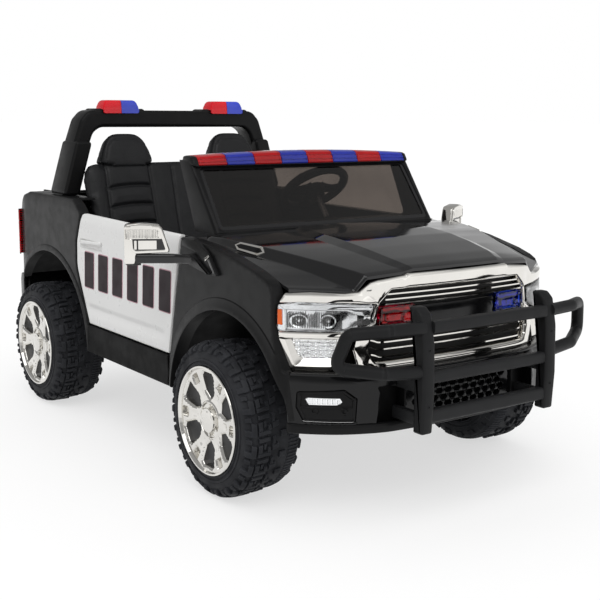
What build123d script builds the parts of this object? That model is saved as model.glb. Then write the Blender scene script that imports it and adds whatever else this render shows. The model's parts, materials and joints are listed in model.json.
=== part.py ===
from build123d import *
import math
import os

# A child's two-seat electric ride-on police pickup truck, in millimetres.
# +X points forward, +Y to the truck's left and +Z up. The origin lies on the ground
# under the middle of the truck's length.

# ---------------------------------------------------------------- driving dimensions
WHEELBASE = 800.0
FRONT_OVERHANG = 351.0  # front axle to the bull bar's front
REAR_OVERHANG = 211.0  # rear axle to the bumper's back
BODY_HALF = 322.0  # middle of the truck to its flat side
WHEEL_R = 143.5
TYRE_WIDTH = 120.5
WHEEL_PROUD = 39.5  # how far the tyres stand out of the body's side

BODY_BOTTOM = 158.0
SILL_TOP = 218.0
BELT_Z = 466.0  # top of the doors
RAIL_RISE = 29.0  # top of the bed's sides above the doors
RAIL_WIDTH = 38.0  # flat rail along the bed, in from the side panel
SCREEN_RISE = 131.0  # top of the windscreen above the doors
ROLL_BAR_RISE = 195.0  # top of the roll bar above the bed's sides
PANEL = 22.0  # whole thickness of a double-walled door or side
WALL = 5.0  # single moulded wall
GAP = 4.5  # gap round the doors
TOUCH = 0.3  # clearance between pieces that only meet
SOFT_EDGE = 4.0  # rounding along the body's outer edges

ARCH_GAP_FRONT = 51.5  # front arch's edge outside the tyre's tread
ARCH_GAP_REAR = 68.5
ARCH_RISE_REAR = 5.0  # rear arch's centre above the axle
LINER_GAP = 5.0  # wheel-well liner outside the arch's edge
LINER_FRONT_REACH = 130.0  # front liner's reach ahead of the axle
FLARE = 8.0  # how far the front arch's flare stands out of the side
FLARE_WIDTH = 24.0
REAR_FLARE = 4.0
REAR_FLARE_WIDTH = 16.0

CABIN_FLOOR_Z = 153.0
BAY_FLOOR_Z = 190.0  # floor of the front bay, above the axle
SEAT_FLOOR_Z = 236.0

PIN_R = 6.0  # wheel axles
RUNNING = 0.05  # radial clearance on pins and axles
KINGPIN_R = 5.0
KINGPIN_INSET = 8.0  # kingpin in from the tyre's inner side
STEER_ARM = 60.0
TIE_PIN_R = 4.0
RIM_R = 100.0

SCREEN_INSET = 50.0  # windscreen frame in from the body's side
PILLAR_WIDTH = 20.0
GLASS = 4.0
HEADLIGHT_WIDTH = 84.7

LIGHT_SEGMENTS = 8
BEACON_WIDTH = 104.0
BEACON_DEPTH = 52.0
BEACON_HEIGHT = 27.0

SEAT_INSET = 50.0  # seat in from the cabin's walls
MIRROR_REACH = 107.0  # mirrors out from the body's side
STEERING_Y = 130.0
STEERING_WHEEL_R = 82.0
CRANK = 26.0

# ------------------------------------------------------------------- derived places
LENGTH = WHEELBASE + FRONT_OVERHANG + REAR_OVERHANG
FRONT_END = LENGTH / 2
REAR_END = -LENGTH / 2
FRONT_X = FRONT_END - FRONT_OVERHANG
REAR_X = REAR_END + REAR_OVERHANG
TYRE_OUT = BODY_HALF + WHEEL_PROUD
TYRE_IN = TYRE_OUT - TYRE_WIDTH
BODY_IN = BODY_HALF - PANEL
CABIN_HALF = BODY_IN - TOUCH  # half width of what lies between the side panels
ARCH_R_FRONT = WHEEL_R + ARCH_GAP_FRONT
ARCH_R_REAR = WHEEL_R + ARCH_GAP_REAR
REAR_ARCH_Z = WHEEL_R + ARCH_RISE_REAR
LINER_R_FRONT = ARCH_R_FRONT + LINER_GAP
LINER_R_REAR = ARCH_R_REAR + LINER_GAP
BED_FLOOR_Z = WHEEL_R + LINER_R_REAR + WALL + TOUCH
RAIL_Z = BELT_Z + RAIL_RISE
RAIL_INNER = BODY_IN - RAIL_WIDTH
REAR_FACE = REAR_END + 26.0  # back of the body, ahead of the bumper's
REAR_DECK_X = REAR_FACE + PANEL + TOUCH
NOSE_X = FRONT_X + 262.0  # grille's front on the centre line
KINGPIN_Y = TYRE_IN - KINGPIN_INSET
WELL_INNER = KINGPIN_Y - 56.0  # middle of the truck to the wheel wells' inner walls

DOOR_FRONT_LOW = (FRONT_X - ARCH_R_FRONT - 16.0, SILL_TOP + GAP)
DOOR_FRONT_MID = (DOOR_FRONT_LOW[0] + 22.0, BELT_Z - 134.0)
DOOR_FRONT_TOP = (DOOR_FRONT_LOW[0] + 49.0, BELT_Z - 12.0)
DOOR_REAR_TOP = (REAR_X + 195.0, BELT_Z)
DOOR_REAR_HIGH = (DOOR_REAR_TOP[0] - 27.0, BELT_Z - 62.0)
DOOR_REAR_MID = (DOOR_REAR_TOP[0] - 30.0, BELT_Z - 119.0)
DOOR_REAR_LOW = (DOOR_REAR_TOP[0] - 6.0, BELT_Z - 173.0)
DOOR_REAR_FOOT = (DOOR_REAR_TOP[0] + 29.0, SILL_TOP + GAP)

SIDES = {"right": -1, "left": 1}


def save(part, name):
    """Label a finished piece and write its STEP file."""
    part.label = name
    export_step(part, f"parts/{name}.step")


def save_pair(part, name):
    """Write a piece modelled on the truck's right, and its mirror image on the left."""
    save(part, f"{name}_right")
    with BuildPart() as other:
        mirror(part, about=Plane.XZ)
    save(other.part, f"{name}_left")


def side_plane(distance):
    """Plane parallel to the truck's side, on its right, at a distance from the middle."""
    return Plane.XZ.offset(distance)


def across(side, distance):
    """The same plane on either side; an extrusion by minus the side runs outwards from it."""
    return Plane.XZ.offset(-side * distance)


def shifted(points, dx):
    return [(x + dx, z) for x, z in points]


def both_sides(points):
    """Closed outline from its half on the truck's right, given as (y, z) from -y upwards."""
    return points + [(-y, z) for y, z in points[::-1]]


os.makedirs("parts", exist_ok=True)

# --------------------------------------------------------------------- body outlines
# Each is in the side view, as (x, z).
door_front_edge = [DOOR_FRONT_LOW, DOOR_FRONT_MID, DOOR_FRONT_TOP]
door_rear_edge = [DOOR_REAR_TOP, DOOR_REAR_HIGH, DOOR_REAR_MID, DOOR_REAR_LOW, DOOR_REAR_FOOT]
HOOD_REAR_Z = BELT_Z - 9.0
hood_edge = [
    (FRONT_X - 115.0, HOOD_REAR_Z),
    (FRONT_X - 60.0, BELT_Z - 13.0),
    (FRONT_X + 20.0, BELT_Z - 25.0),
    (FRONT_X + 100.0, BELT_Z - 43.0),
    (FRONT_X + 169.0, BELT_Z - 65.0),
]
fender_front_edge = [
    (FRONT_X + 176.0, BELT_Z - 87.0),
    (FRONT_X + 187.0, BODY_BOTTOM + 108.0),
    (FRONT_X + 193.0, BODY_BOTTOM),
]


def nose_curve(dx):
    """Front outline of the body in plan, from the truck's left to its right, moved forward by dx."""
    right = [
        (NOSE_X + dx, 0.0),
        (NOSE_X - 6.0 + dx, 197.0 - BODY_HALF),
        (NOSE_X - 15.0 + dx, 139.0 - BODY_HALF),
        (NOSE_X - 46.0 + dx, 72.0 - BODY_HALF),
        (NOSE_X - 95.0 + dx, 16.0 - BODY_HALF),
        (NOSE_X - 118.0 + dx, -BODY_HALF),
    ]
    left = [(x, -y) for x, y in right[:0:-1]]
    return left + right


def nose_band(low_z, high_z, back, front):
    """Solid that follows the nose in plan, between two forward shifts of its outline."""
    with BuildPart() as band:
        with BuildSketch(Plane.XY.offset(low_z)):
            with BuildLine():
                outer_line = Spline(*nose_curve(front))
                inner_line = Spline(*nose_curve(back))
                Line(outer_line @ 0, inner_line @ 0)
                Line(outer_line @ 1, inner_line @ 1)
            make_face()
        extrude(amount=high_z - low_z)
    return band.part


def front_window(points):
    """Prism along X over a front-view outline, given as (y, z)."""
    with BuildPart() as window:
        with BuildSketch(Plane.YZ.offset(FRONT_X)):
            with BuildLine():
                Polyline(*points, close=True)
            make_face()
        extrude(amount=2 * FRONT_OVERHANG)
    return window.part


def nose_piece(points, low_z, high_z, back, front):
    """The part of a nose band that lies inside a front-view outline."""
    band = nose_band(low_z, high_z, back, front)
    window = front_window(points)
    with BuildPart() as piece:
        add(band)
        add(window, mode=Mode.INTERSECT)
    return piece.part


def span(low_y, high_y):
    """Front-view outline between two distances from the middle, at any height."""
    return [(low_y, 0.0), (high_y, 0.0), (high_y, 2 * RAIL_Z), (low_y, 2 * RAIL_Z)]


# ---------------------------------------------------------------------- chassis tub
FIREWALL_X = FRONT_X - LINER_R_FRONT - WALL
SEAT_RISER_X = REAR_X + 395.0
BAY_FRONT_X = FRONT_X + 180.0
BULKHEAD_X = FRONT_X - 30.0
REAR_WELL_FRONT_X = REAR_X + LINER_R_REAR
BAY_WALL_TOP = BELT_Z - 71.0

COLUMN_ANGLE = math.radians(51.5)  # slope of the steering column below level
WHEEL_CENTRE = Vector(FRONT_X - 350.0, STEERING_Y, BELT_Z + 54.0)
COLUMN_DIR = Vector(math.cos(COLUMN_ANGLE), 0, -math.sin(COLUMN_ANGLE))
CRANK_DIR = Vector(-math.sin(COLUMN_ANGLE), 0, -math.cos(COLUMN_ANGLE))
TIE_DROP = 27.5  # tie rod's middle below the wheels' axis
TIE_Z = WHEEL_R - TIE_DROP
SHAFT_LENGTH = (WHEEL_CENTRE.Z - TIE_Z - CRANK * math.cos(COLUMN_ANGLE)) / math.sin(COLUMN_ANGLE)
SHAFT_R = 6.0
CRANK_R = 4.0
BALL_R = 6.0
shaft_foot = WHEEL_CENTRE + COLUMN_DIR * SHAFT_LENGTH
ball_centre = shaft_foot + CRANK_DIR * CRANK
TIE_X = FRONT_X - STEER_ARM

AXLE_HANGER_Y = 150.0
HANGER_THICK = 8.0
HANGER_HALF = 22.0
HANGER_FOOT = 16.0  # hanger's reach below the axle
SHAFT_SLOT = (56.0, 44.0)  # opening for the steering shaft, along and across the truck
with BuildPart() as chassis_tub:
    floor_under = [
        (BAY_FRONT_X, BAY_FLOOR_Z),
        (FIREWALL_X, BAY_FLOOR_Z),
        (FIREWALL_X, CABIN_FLOOR_Z),
        (SEAT_RISER_X, CABIN_FLOOR_Z),
        (SEAT_RISER_X, SEAT_FLOOR_Z),
        (REAR_DECK_X, SEAT_FLOOR_Z),
    ]
    floor_top = [
        (BAY_FRONT_X, BAY_FLOOR_Z + WALL),
        (FIREWALL_X - WALL, BAY_FLOOR_Z + WALL),
        (FIREWALL_X - WALL, CABIN_FLOOR_Z + WALL),
        (SEAT_RISER_X + WALL, CABIN_FLOOR_Z + WALL),
        (SEAT_RISER_X + WALL, SEAT_FLOOR_Z + WALL),
        (REAR_DECK_X, SEAT_FLOOR_Z + WALL),
    ]
    with BuildSketch(side_plane(-WELL_INNER)):
        with BuildLine():
            Polyline(*floor_under, *floor_top[::-1], close=True)
        make_face()
    extrude(amount=2 * WELL_INNER)
    # cabin floor and seat deck out to the sills, and the step between them
    for x0, x1, low_z, high_z in (
        (REAR_WELL_FRONT_X + WALL, FIREWALL_X - WALL, CABIN_FLOOR_Z, CABIN_FLOOR_Z + WALL),
        (REAR_WELL_FRONT_X, SEAT_RISER_X + WALL, SEAT_FLOOR_Z, SEAT_FLOOR_Z + WALL),
        (SEAT_RISER_X, SEAT_RISER_X + WALL, CABIN_FLOOR_Z, SEAT_FLOOR_Z),
    ):
        with BuildSketch(Plane.XY.offset(low_z)):
            with Locations(((x0 + x1) / 2, 0)):
                Rectangle(x1 - x0, 2 * CABIN_HALF)
        extrude(amount=high_z - low_z)
    sill_front = DOOR_FRONT_LOW[0] + GAP
    sill_rear = DOOR_REAR_FOOT[0] - GAP
    for side in SIDES.values():
        # wall beside the front bay
        with BuildSketch(Plane.XY.offset(BAY_FLOOR_Z)):
            with Locations(((FIREWALL_X - WALL + BAY_FRONT_X) / 2, side * (WELL_INNER - WALL / 2))):
                Rectangle(BAY_FRONT_X - FIREWALL_X + WALL, WALL)
        extrude(amount=BAY_WALL_TOP - BAY_FLOOR_Z)
        # wall beside the rear deck, under the liner
        with BuildSketch(across(side, WELL_INNER - WALL)):
            with Locations((REAR_X, WHEEL_R)):
                Circle(LINER_R_REAR + WALL)
            with Locations((REAR_X, SEAT_FLOOR_Z - 2 * LINER_R_REAR)):
                Rectangle(3 * LINER_R_REAR, 4 * LINER_R_REAR, mode=Mode.SUBTRACT)
            with Locations((REAR_DECK_X - LINER_R_REAR, WHEEL_R)):
                Rectangle(2 * LINER_R_REAR, 4 * LINER_R_REAR, mode=Mode.SUBTRACT)
        extrude(amount=-side * WALL)
        # walls across the truck that close the wells towards the cabin
        for x, z1 in (
            (FIREWALL_X - WALL / 2, BAY_WALL_TOP),
            (REAR_WELL_FRONT_X + 1.5 * WALL, SEAT_FLOOR_Z),
        ):
            with BuildSketch(Plane.XY.offset(CABIN_FLOOR_Z)):
                with Locations((x, side * (WELL_INNER - WALL + CABIN_HALF) / 2)):
                    Rectangle(WALL, CABIN_HALF - WELL_INNER + WALL)
            extrude(amount=z1 - CABIN_FLOOR_Z)
        # sill below the door, and the floor's flange into it
        with BuildSketch(Plane.XY.offset(BODY_BOTTOM)):
            with Locations(((sill_front + sill_rear) / 2, side * (BODY_HALF + BODY_IN) / 2)):
                Rectangle(sill_front - sill_rear, PANEL)
        extrude(amount=SILL_TOP - BODY_BOTTOM)
        with BuildSketch(Plane.XY.offset(CABIN_FLOOR_Z)):
            with Locations(((sill_front + sill_rear) / 2, side * (CABIN_HALF + BODY_IN) / 2)):
                Rectangle(sill_front - sill_rear, PANEL)
        extrude(amount=WALL)
        # curved liners over the wheels
        for wheel_x, radius in ((FRONT_X, LINER_R_FRONT), (REAR_X, LINER_R_REAR)):
            with BuildSketch(across(side, WELL_INNER)):
                with Locations((wheel_x, WHEEL_R)):
                    Circle(radius + WALL)
                    Circle(radius, mode=Mode.SUBTRACT)
                with Locations((wheel_x, WHEEL_R - radius)):
                    Rectangle(3 * radius, 2 * radius, mode=Mode.SUBTRACT)
                # the bumpers, the lamps and the rear panel close the wells' ends
                with Locations((FRONT_X + 2 * LINER_FRONT_REACH, WHEEL_R)):
                    Rectangle(2 * LINER_FRONT_REACH, 4 * radius, mode=Mode.SUBTRACT)
                with Locations((REAR_DECK_X - radius, WHEEL_R)):
                    Rectangle(2 * radius, 4 * radius, mode=Mode.SUBTRACT)
            extrude(amount=-side * (CABIN_HALF - WELL_INNER))
        # hangers that hold the rear axle
        with BuildSketch(across(side, AXLE_HANGER_Y)):
            with Locations((REAR_X, (WHEEL_R - HANGER_FOOT + SEAT_FLOOR_Z) / 2)):
                Rectangle(2 * HANGER_HALF, SEAT_FLOOR_Z - WHEEL_R + HANGER_FOOT)
            with Locations((REAR_X, WHEEL_R)):
                Circle(PIN_R, mode=Mode.SUBTRACT)
        extrude(amount=-side * HANGER_THICK)
    # bulkhead ahead of the feet
    with BuildSketch(Plane.XY.offset(BAY_FLOOR_Z)):
        with Locations((BULKHEAD_X, 0)):
            Rectangle(WALL, 2 * WELL_INNER - WALL)
    extrude(amount=BAY_WALL_TOP - BAY_FLOOR_Z)
    # opening for the steering shaft
    slot_x = WHEEL_CENTRE.X + (WHEEL_CENTRE.Z - BAY_FLOOR_Z) / math.tan(COLUMN_ANGLE)
    with BuildSketch(Plane.XY.offset(BAY_FLOOR_Z - WALL)):
        with Locations((slot_x, STEERING_Y)):
            Rectangle(*SHAFT_SLOT)
    extrude(amount=3 * WALL, mode=Mode.SUBTRACT)
save(chassis_tub.part, "chassis_tub")

# ------------------------------------------------------------------------ door hinges
# The doors turn about their sloping front edges, on pins just inside the skin.
HINGE_BACK = 2.5  # hinge's axis behind the door's front edge
HINGE_INSET = 5.0  # and in from the skin
DOOR_PIN_R = 2.5
LUG_R = 4.6
LUG_HEIGHT = 16.0
LUG_GAP = 0.5  # clearance round the fender's lugs
PIN_HOLD = 7.0  # pin's length in the door beyond the lug
HINGE_HEIGHTS = (SILL_TOP + 32.0, BELT_Z - 46.0)
hinge_rise = Vector(*DOOR_FRONT_TOP) - Vector(*DOOR_FRONT_LOW)
hinge_dir = Vector(hinge_rise.X, 0, hinge_rise.Y).normalized()


def hinge_plane(z, along):
    """Plane square to the door hinge's axis, at a distance along it from height z."""
    x = DOOR_FRONT_LOW[0] - HINGE_BACK + (z - DOOR_FRONT_LOW[1]) * hinge_dir.X / hinge_dir.Z
    origin = Vector(x, HINGE_INSET - BODY_HALF, z) + hinge_dir * along
    return Plane(origin=origin, x_dir=(hinge_dir.Z, 0, -hinge_dir.X), z_dir=hinge_dir)


# -------------------------------------------------------------------- front fenders
with BuildPart() as front_fender:
    with BuildSketch(side_plane(BODY_IN)):
        with BuildLine():
            Polyline(
                (DOOR_FRONT_LOW[0] + GAP, BODY_BOTTOM),
                *shifted(door_front_edge, GAP),
                (DOOR_FRONT_TOP[0] + GAP, HOOD_REAR_Z),
                *hood_edge,
                *fender_front_edge,
                close=True,
            )
        make_face()
        with Locations((FRONT_X, WHEEL_R)):
            Circle(ARCH_R_FRONT, mode=Mode.SUBTRACT)
    extrude(amount=PANEL)
    # rounded shoulder along the hood
    skin_edges = front_fender.faces().sort_by(Axis.Y)[0].edges()
    shoulder = skin_edges.filter_by_position(Axis.Z, BELT_Z - 66.0, BELT_Z)
    fillet(shoulder.filter_by_position(Axis.X, DOOR_FRONT_TOP[0] + GAP + TOUCH, FRONT_END), SOFT_EDGE)
    # flare round the arch
    with BuildSketch(side_plane(BODY_HALF)):
        with Locations((FRONT_X, WHEEL_R)):
            Circle(ARCH_R_FRONT + FLARE_WIDTH)
            Circle(ARCH_R_FRONT, mode=Mode.SUBTRACT)
        with Locations((FRONT_X, BODY_BOTTOM - ARCH_R_FRONT)):
            Rectangle(3 * ARCH_R_FRONT, 2 * ARCH_R_FRONT, mode=Mode.SUBTRACT)
        with Locations((FRONT_X + 190.0 + ARCH_R_FRONT, WHEEL_R)):
            Rectangle(2 * ARCH_R_FRONT, 4 * ARCH_R_FRONT, mode=Mode.SUBTRACT)
        with Locations((DOOR_FRONT_LOW[0] + GAP - ARCH_R_FRONT, WHEEL_R)):
            Rectangle(2 * ARCH_R_FRONT, 4 * ARCH_R_FRONT, mode=Mode.SUBTRACT)
    extrude(amount=FLARE, taper=18)
    # lugs for the door's hinge pins
    for z in HINGE_HEIGHTS:
        with BuildSketch(hinge_plane(z, -LUG_HEIGHT / 2)):
            Circle(LUG_R)
            with Locations((LUG_R, 0)):
                Rectangle(2 * LUG_R, 2 * LUG_R)
        extrude(amount=LUG_HEIGHT)
        with BuildSketch(hinge_plane(z, -LUG_HEIGHT)):
            Circle(DOOR_PIN_R + RUNNING)
        extrude(amount=2 * LUG_HEIGHT, mode=Mode.SUBTRACT)
save_pair(front_fender.part, "front_fender")

# ------------------------------------------------------------------------------ doors
DOOR_CORNER_R = 14.0
with BuildPart() as door:
    with BuildSketch(side_plane(BODY_IN)) as door_face:
        with BuildLine():
            Polyline(
                *door_front_edge,
                (DOOR_FRONT_TOP[0] + 2.0, BELT_Z - 6.0),
                *door_rear_edge,
                close=True,
            )
        make_face()
        rear_top = door_face.vertices().sort_by_distance((DOOR_REAR_TOP[0], -BODY_IN, BELT_Z))[0]
        fillet(rear_top, DOOR_CORNER_R)
    extrude(amount=PANEL)
    for z in HINGE_HEIGHTS:
        # notch that the fender's lug turns in
        with BuildSketch(hinge_plane(z, -LUG_HEIGHT / 2 - LUG_GAP)):
            Circle(LUG_R + LUG_GAP)
            with Locations((LUG_R, -LUG_R)):
                Rectangle(2 * LUG_R, 4 * LUG_R + 2 * LUG_GAP)
            with Locations((0, -LUG_R)):
                Rectangle(2 * (LUG_R + LUG_GAP), 2 * LUG_R)
        extrude(amount=LUG_HEIGHT + 2 * LUG_GAP, mode=Mode.SUBTRACT)
        with BuildSketch(hinge_plane(z, -LUG_HEIGHT / 2 - PIN_HOLD)):
            Circle(DOOR_PIN_R)
        extrude(amount=LUG_HEIGHT + 2 * PIN_HOLD)
save_pair(door.part, "door")

# -------------------------------------------------------------------- rear quarters
RAIL_REAR_X = REAR_FACE + 70.0
RAIL_FRONT_X = DOOR_REAR_TOP[0] - 52.0
with BuildPart() as rear_quarter:
    with BuildSketch(side_plane(BODY_IN)) as quarter_face:
        with BuildLine():
            Polyline(
                *shifted(door_rear_edge, -GAP),
                (DOOR_REAR_FOOT[0] - GAP, BODY_BOTTOM),
                (REAR_X, BODY_BOTTOM),
                (REAR_FACE, BODY_BOTTOM + 132.0),
                (REAR_FACE, RAIL_Z - 95.0),
                (REAR_FACE + 8.0, RAIL_Z - 40.0),
                (REAR_FACE + 32.0, RAIL_Z - 10.0),
                (RAIL_REAR_X, RAIL_Z),
                (RAIL_FRONT_X, RAIL_Z),
                (RAIL_FRONT_X + 24.0, RAIL_Z - 11.0),
                close=True,
            )
        make_face()
        door_corner = quarter_face.vertices().sort_by_distance((DOOR_REAR_TOP[0] - GAP, -BODY_IN, BELT_Z))[0]
        fillet(door_corner, DOOR_CORNER_R)
        with Locations((REAR_X, REAR_ARCH_Z)):
            Circle(ARCH_R_REAR, mode=Mode.SUBTRACT)
    extrude(amount=PANEL)
    skin_edges = rear_quarter.faces().sort_by(Axis.Y)[0].edges()
    rail_edge = skin_edges.filter_by_position(Axis.Z, RAIL_Z - 41.0, RAIL_Z)
    fillet(rail_edge.filter_by_position(Axis.X, REAR_FACE, RAIL_FRONT_X), SOFT_EDGE)
    # slighter flare round the rear arch
    with BuildSketch(side_plane(BODY_HALF)):
        with Locations((REAR_X, REAR_ARCH_Z)):
            Circle(ARCH_R_REAR + REAR_FLARE_WIDTH)
            Circle(ARCH_R_REAR, mode=Mode.SUBTRACT)
        with Locations((REAR_X, SILL_TOP + 2.0 - ARCH_R_REAR)):
            Rectangle(3 * ARCH_R_REAR, 2 * ARCH_R_REAR, mode=Mode.SUBTRACT)
        with Locations((REAR_FACE + 12.0 - ARCH_R_REAR, REAR_ARCH_Z)):
            Rectangle(2 * ARCH_R_REAR, 4 * ARCH_R_REAR, mode=Mode.SUBTRACT)
        with Locations((REAR_X + 172.0 + ARCH_R_REAR, REAR_ARCH_Z)):
            Rectangle(2 * ARCH_R_REAR, 4 * ARCH_R_REAR, mode=Mode.SUBTRACT)
    extrude(amount=REAR_FLARE, taper=18)
    # flat rail along the bed's side
    with BuildSketch(Plane.XY.offset(RAIL_Z - WALL)):
        with Locations(((RAIL_REAR_X + RAIL_FRONT_X) / 2, -(BODY_IN + RAIL_INNER) / 2)):
            Rectangle(RAIL_FRONT_X - RAIL_REAR_X, RAIL_WIDTH)
    extrude(amount=WALL)
save_pair(rear_quarter.part, "rear_quarter")

# ------------------------------------------------------------------------------- hood
HOOD_REAR_X = FRONT_X - 105.0 + TOUCH
HOOD_HALF = BODY_IN + 3.0  # where its sides meet their edge height
HOOD_FRONT_SHIFT = -6.0  # hood's front edge behind the grille's face
HOOD_SPINE = 4.0  # middle of the hood above its ridges
hood_sections = [
    # distance ahead of the axle, edge height, ridge half width, ridge height
    (HOOD_REAR_X - FRONT_X, HOOD_REAR_Z, 120.0, BELT_Z + 2.0),
    (20.0, BELT_Z - 25.0, 150.0, BELT_Z),
    (100.0, BELT_Z - 42.0, 148.0, BELT_Z - 8.0),
    (170.0, BELT_Z - 62.0, 141.0, BELT_Z - 19.0),
    (262.0, BELT_Z - 74.0, 118.0, BELT_Z - 35.0),
]
with BuildPart() as hood:
    for dx, edge_z, ridge_y, ridge_z in hood_sections:
        with BuildSketch(Plane.YZ.offset(FRONT_X + dx)):
            with BuildLine():
                top = [
                    (-HOOD_HALF, edge_z),
                    (-ridge_y, ridge_z),
                    (0.0, ridge_z + HOOD_SPINE),
                    (ridge_y, ridge_z),
                    (HOOD_HALF, edge_z),
                ]
                Polyline(*top, *[(y, z - WALL) for y, z in top[::-1]], close=True)
            make_face()
    loft(ruled=True)
    # trimmed to the nose in front and to the fenders beside it
    with BuildSketch(Plane.XY.offset(BAY_FLOOR_Z)):
        with BuildLine():
            front_edge = Spline(*nose_curve(HOOD_FRONT_SHIFT))
            Polyline(
                front_edge @ 0,
                (HOOD_REAR_X, BODY_HALF),
                (HOOD_REAR_X, -BODY_HALF),
                front_edge @ 1,
            )
        make_face()
        Rectangle(2 * LENGTH, 2 * CABIN_HALF, mode=Mode.INTERSECT)
    extrude(amount=BELT_Z, mode=Mode.INTERSECT)
save(hood.part, "hood")

# ------------------------------------------------------------------ grille and lamps
GRILLE_HALF = CABIN_HALF - HEADLIGHT_WIDTH
GRILLE_TOP = BELT_Z - 43.0
GRILLE_BOTTOM = 262.0
HEADLIGHT_TOP = GRILLE_TOP - 39.0
BUMPER_TOP = GRILLE_BOTTOM - 4.0
NOSE_SKIN = (-4.0, 3.0)  # back and front of the chromed pieces about the nose's outline
BROW_HEIGHT = 12.0
BROW_START = GRILLE_HALF - 15.0

grille_outline = [
    (65.0 - GRILLE_HALF, GRILLE_TOP),
    (27.0 - GRILLE_HALF, GRILLE_TOP - 5.0),
    (10.0 - GRILLE_HALF, HEADLIGHT_TOP),
    (-GRILLE_HALF, GRILLE_BOTTOM + 38.0),
    (15.0 - GRILLE_HALF, GRILLE_BOTTOM),
]
grille_opening = [
    (61.0 - GRILLE_HALF, GRILLE_TOP - 20.0),
    (37.0 - GRILLE_HALF, GRILLE_TOP - 47.0),
    (25.0 - GRILLE_HALF, GRILLE_BOTTOM + 34.0),
    (39.0 - GRILLE_HALF, GRILLE_BOTTOM + 14.0),
]
surround = nose_piece(both_sides(grille_outline), GRILLE_BOTTOM, GRILLE_TOP, *NOSE_SKIN)
opening = front_window(both_sides(grille_opening))
brow_low = HEADLIGHT_TOP + TOUCH
brows = [
    nose_piece(span(side * BROW_START, side * CABIN_HALF), brow_low, HEADLIGHT_TOP + BROW_HEIGHT, *NOSE_SKIN)
    for side in SIDES.values()
]
with BuildPart() as grille_surround:
    add(surround)
    add(opening, mode=Mode.SUBTRACT)
    add(brows)
save(grille_surround.part, "grille_surround")

BACKING_HALF = GRILLE_HALF - 15.0
BACKING = (-20.0, -14.0)  # back and front of the panel behind the bars
backing = nose_piece(span(-BACKING_HALF, BACKING_HALF), GRILLE_BOTTOM, GRILLE_TOP - 26.0, *BACKING)
save(backing, "grille_backing")

BAR_HEIGHT = 4.0
BAR_PITCH = 11.0
BARS_EACH = 3
UPPER_BARS_Z = GRILLE_TOP - 28.0
LOWER_BARS_Z = GRILLE_TOP - 99.0
bar_tops = [first_z - row * BAR_PITCH for first_z in (UPPER_BARS_Z, LOWER_BARS_Z) for row in range(BARS_EACH)]
bars = [nose_piece(both_sides(grille_opening), z - BAR_HEIGHT, z, BACKING[1], 0.0) for z in bar_tops]
with BuildPart() as grille_bars:
    add(bars)
save(grille_bars.part, "grille_bars")

LAMP_BAND = (GRILLE_TOP - 89.0, GRILLE_TOP - 57.0)  # low and high edges of the lamps between the bars
LAMP_SPAN = (GRILLE_HALF - 77.0, GRILLE_HALF - 39.0)
for name, side in (("grille_lamp_red", -1), ("grille_lamp_blue", 1)):
    lamp = nose_piece(span(side * LAMP_SPAN[0], side * LAMP_SPAN[1]), *LAMP_BAND, BACKING[1], -1.0)
    save(lamp, name)

LAMP_FOOT = BUMPER_TOP + 6.0
headlight_outline = [
    (8.0 - GRILLE_HALF, HEADLIGHT_TOP - TOUCH),
    (-CABIN_HALF, HEADLIGHT_TOP - TOUCH),
    (-CABIN_HALF, HEADLIGHT_TOP - 44.0),
    (4.0 - CABIN_HALF, LAMP_FOOT + 20.0),
    (16.0 - CABIN_HALF, LAMP_FOOT),
    (-25.0 - GRILLE_HALF, LAMP_FOOT),
    (-11.0 - GRILLE_HALF, LAMP_FOOT + 36.0),
    (-2.0 - GRILLE_HALF, HEADLIGHT_TOP - 48.0),
]
HEADLIGHT_DEPTH = 26.0
save_pair(nose_piece(headlight_outline, BUMPER_TOP, HEADLIGHT_TOP, -HEADLIGHT_DEPTH, 0.0), "headlight")

# ----------------------------------------------------------------------- front bumper
BUMPER_FRONT = 24.0
BUMPER_BACK = -30.0
BUMPER_SKIN = 12.0
RECESS_DEPTH = 8.0
INTAKE_HALF = 112.0
INTAKE_HEIGHTS = (176.0, 226.0)
intake_outline = both_sides([(-INTAKE_HALF, INTAKE_HEIGHTS[1]), (14.0 - INTAKE_HALF, INTAKE_HEIGHTS[0])])
fog_outline = [
    (104.0 - CABIN_HALF, 178.0),
    (104.0 - CABIN_HALF, 226.0),
    (14.0 - CABIN_HALF, 232.0),
    (8.0 - CABIN_HALF, 200.0),
    (20.0 - CABIN_HALF, 176.0),
]
recess_band = (BODY_BOTTOM, BUMPER_TOP, BUMPER_FRONT - RECESS_DEPTH, BUMPER_FRONT + RECESS_DEPTH)
recesses = [
    nose_piece(outline, *recess_band)
    for outline in (intake_outline, fog_outline, [(-y, z) for y, z in fog_outline])
]
bumper_solid = nose_band(BODY_BOTTOM, BUMPER_TOP, BUMPER_BACK, BUMPER_FRONT)
bumper_hollow = nose_band(BODY_BOTTOM, BUMPER_TOP - WALL, 2 * BUMPER_BACK, BUMPER_FRONT - BUMPER_SKIN)
nose_width = front_window(span(-CABIN_HALF, CABIN_HALF))
with BuildPart() as front_bumper:
    add(bumper_solid)
    add(bumper_hollow, mode=Mode.SUBTRACT)
    add(nose_width, mode=Mode.INTERSECT)
    add(recesses, mode=Mode.SUBTRACT)
save(front_bumper.part, "front_bumper")

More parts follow.
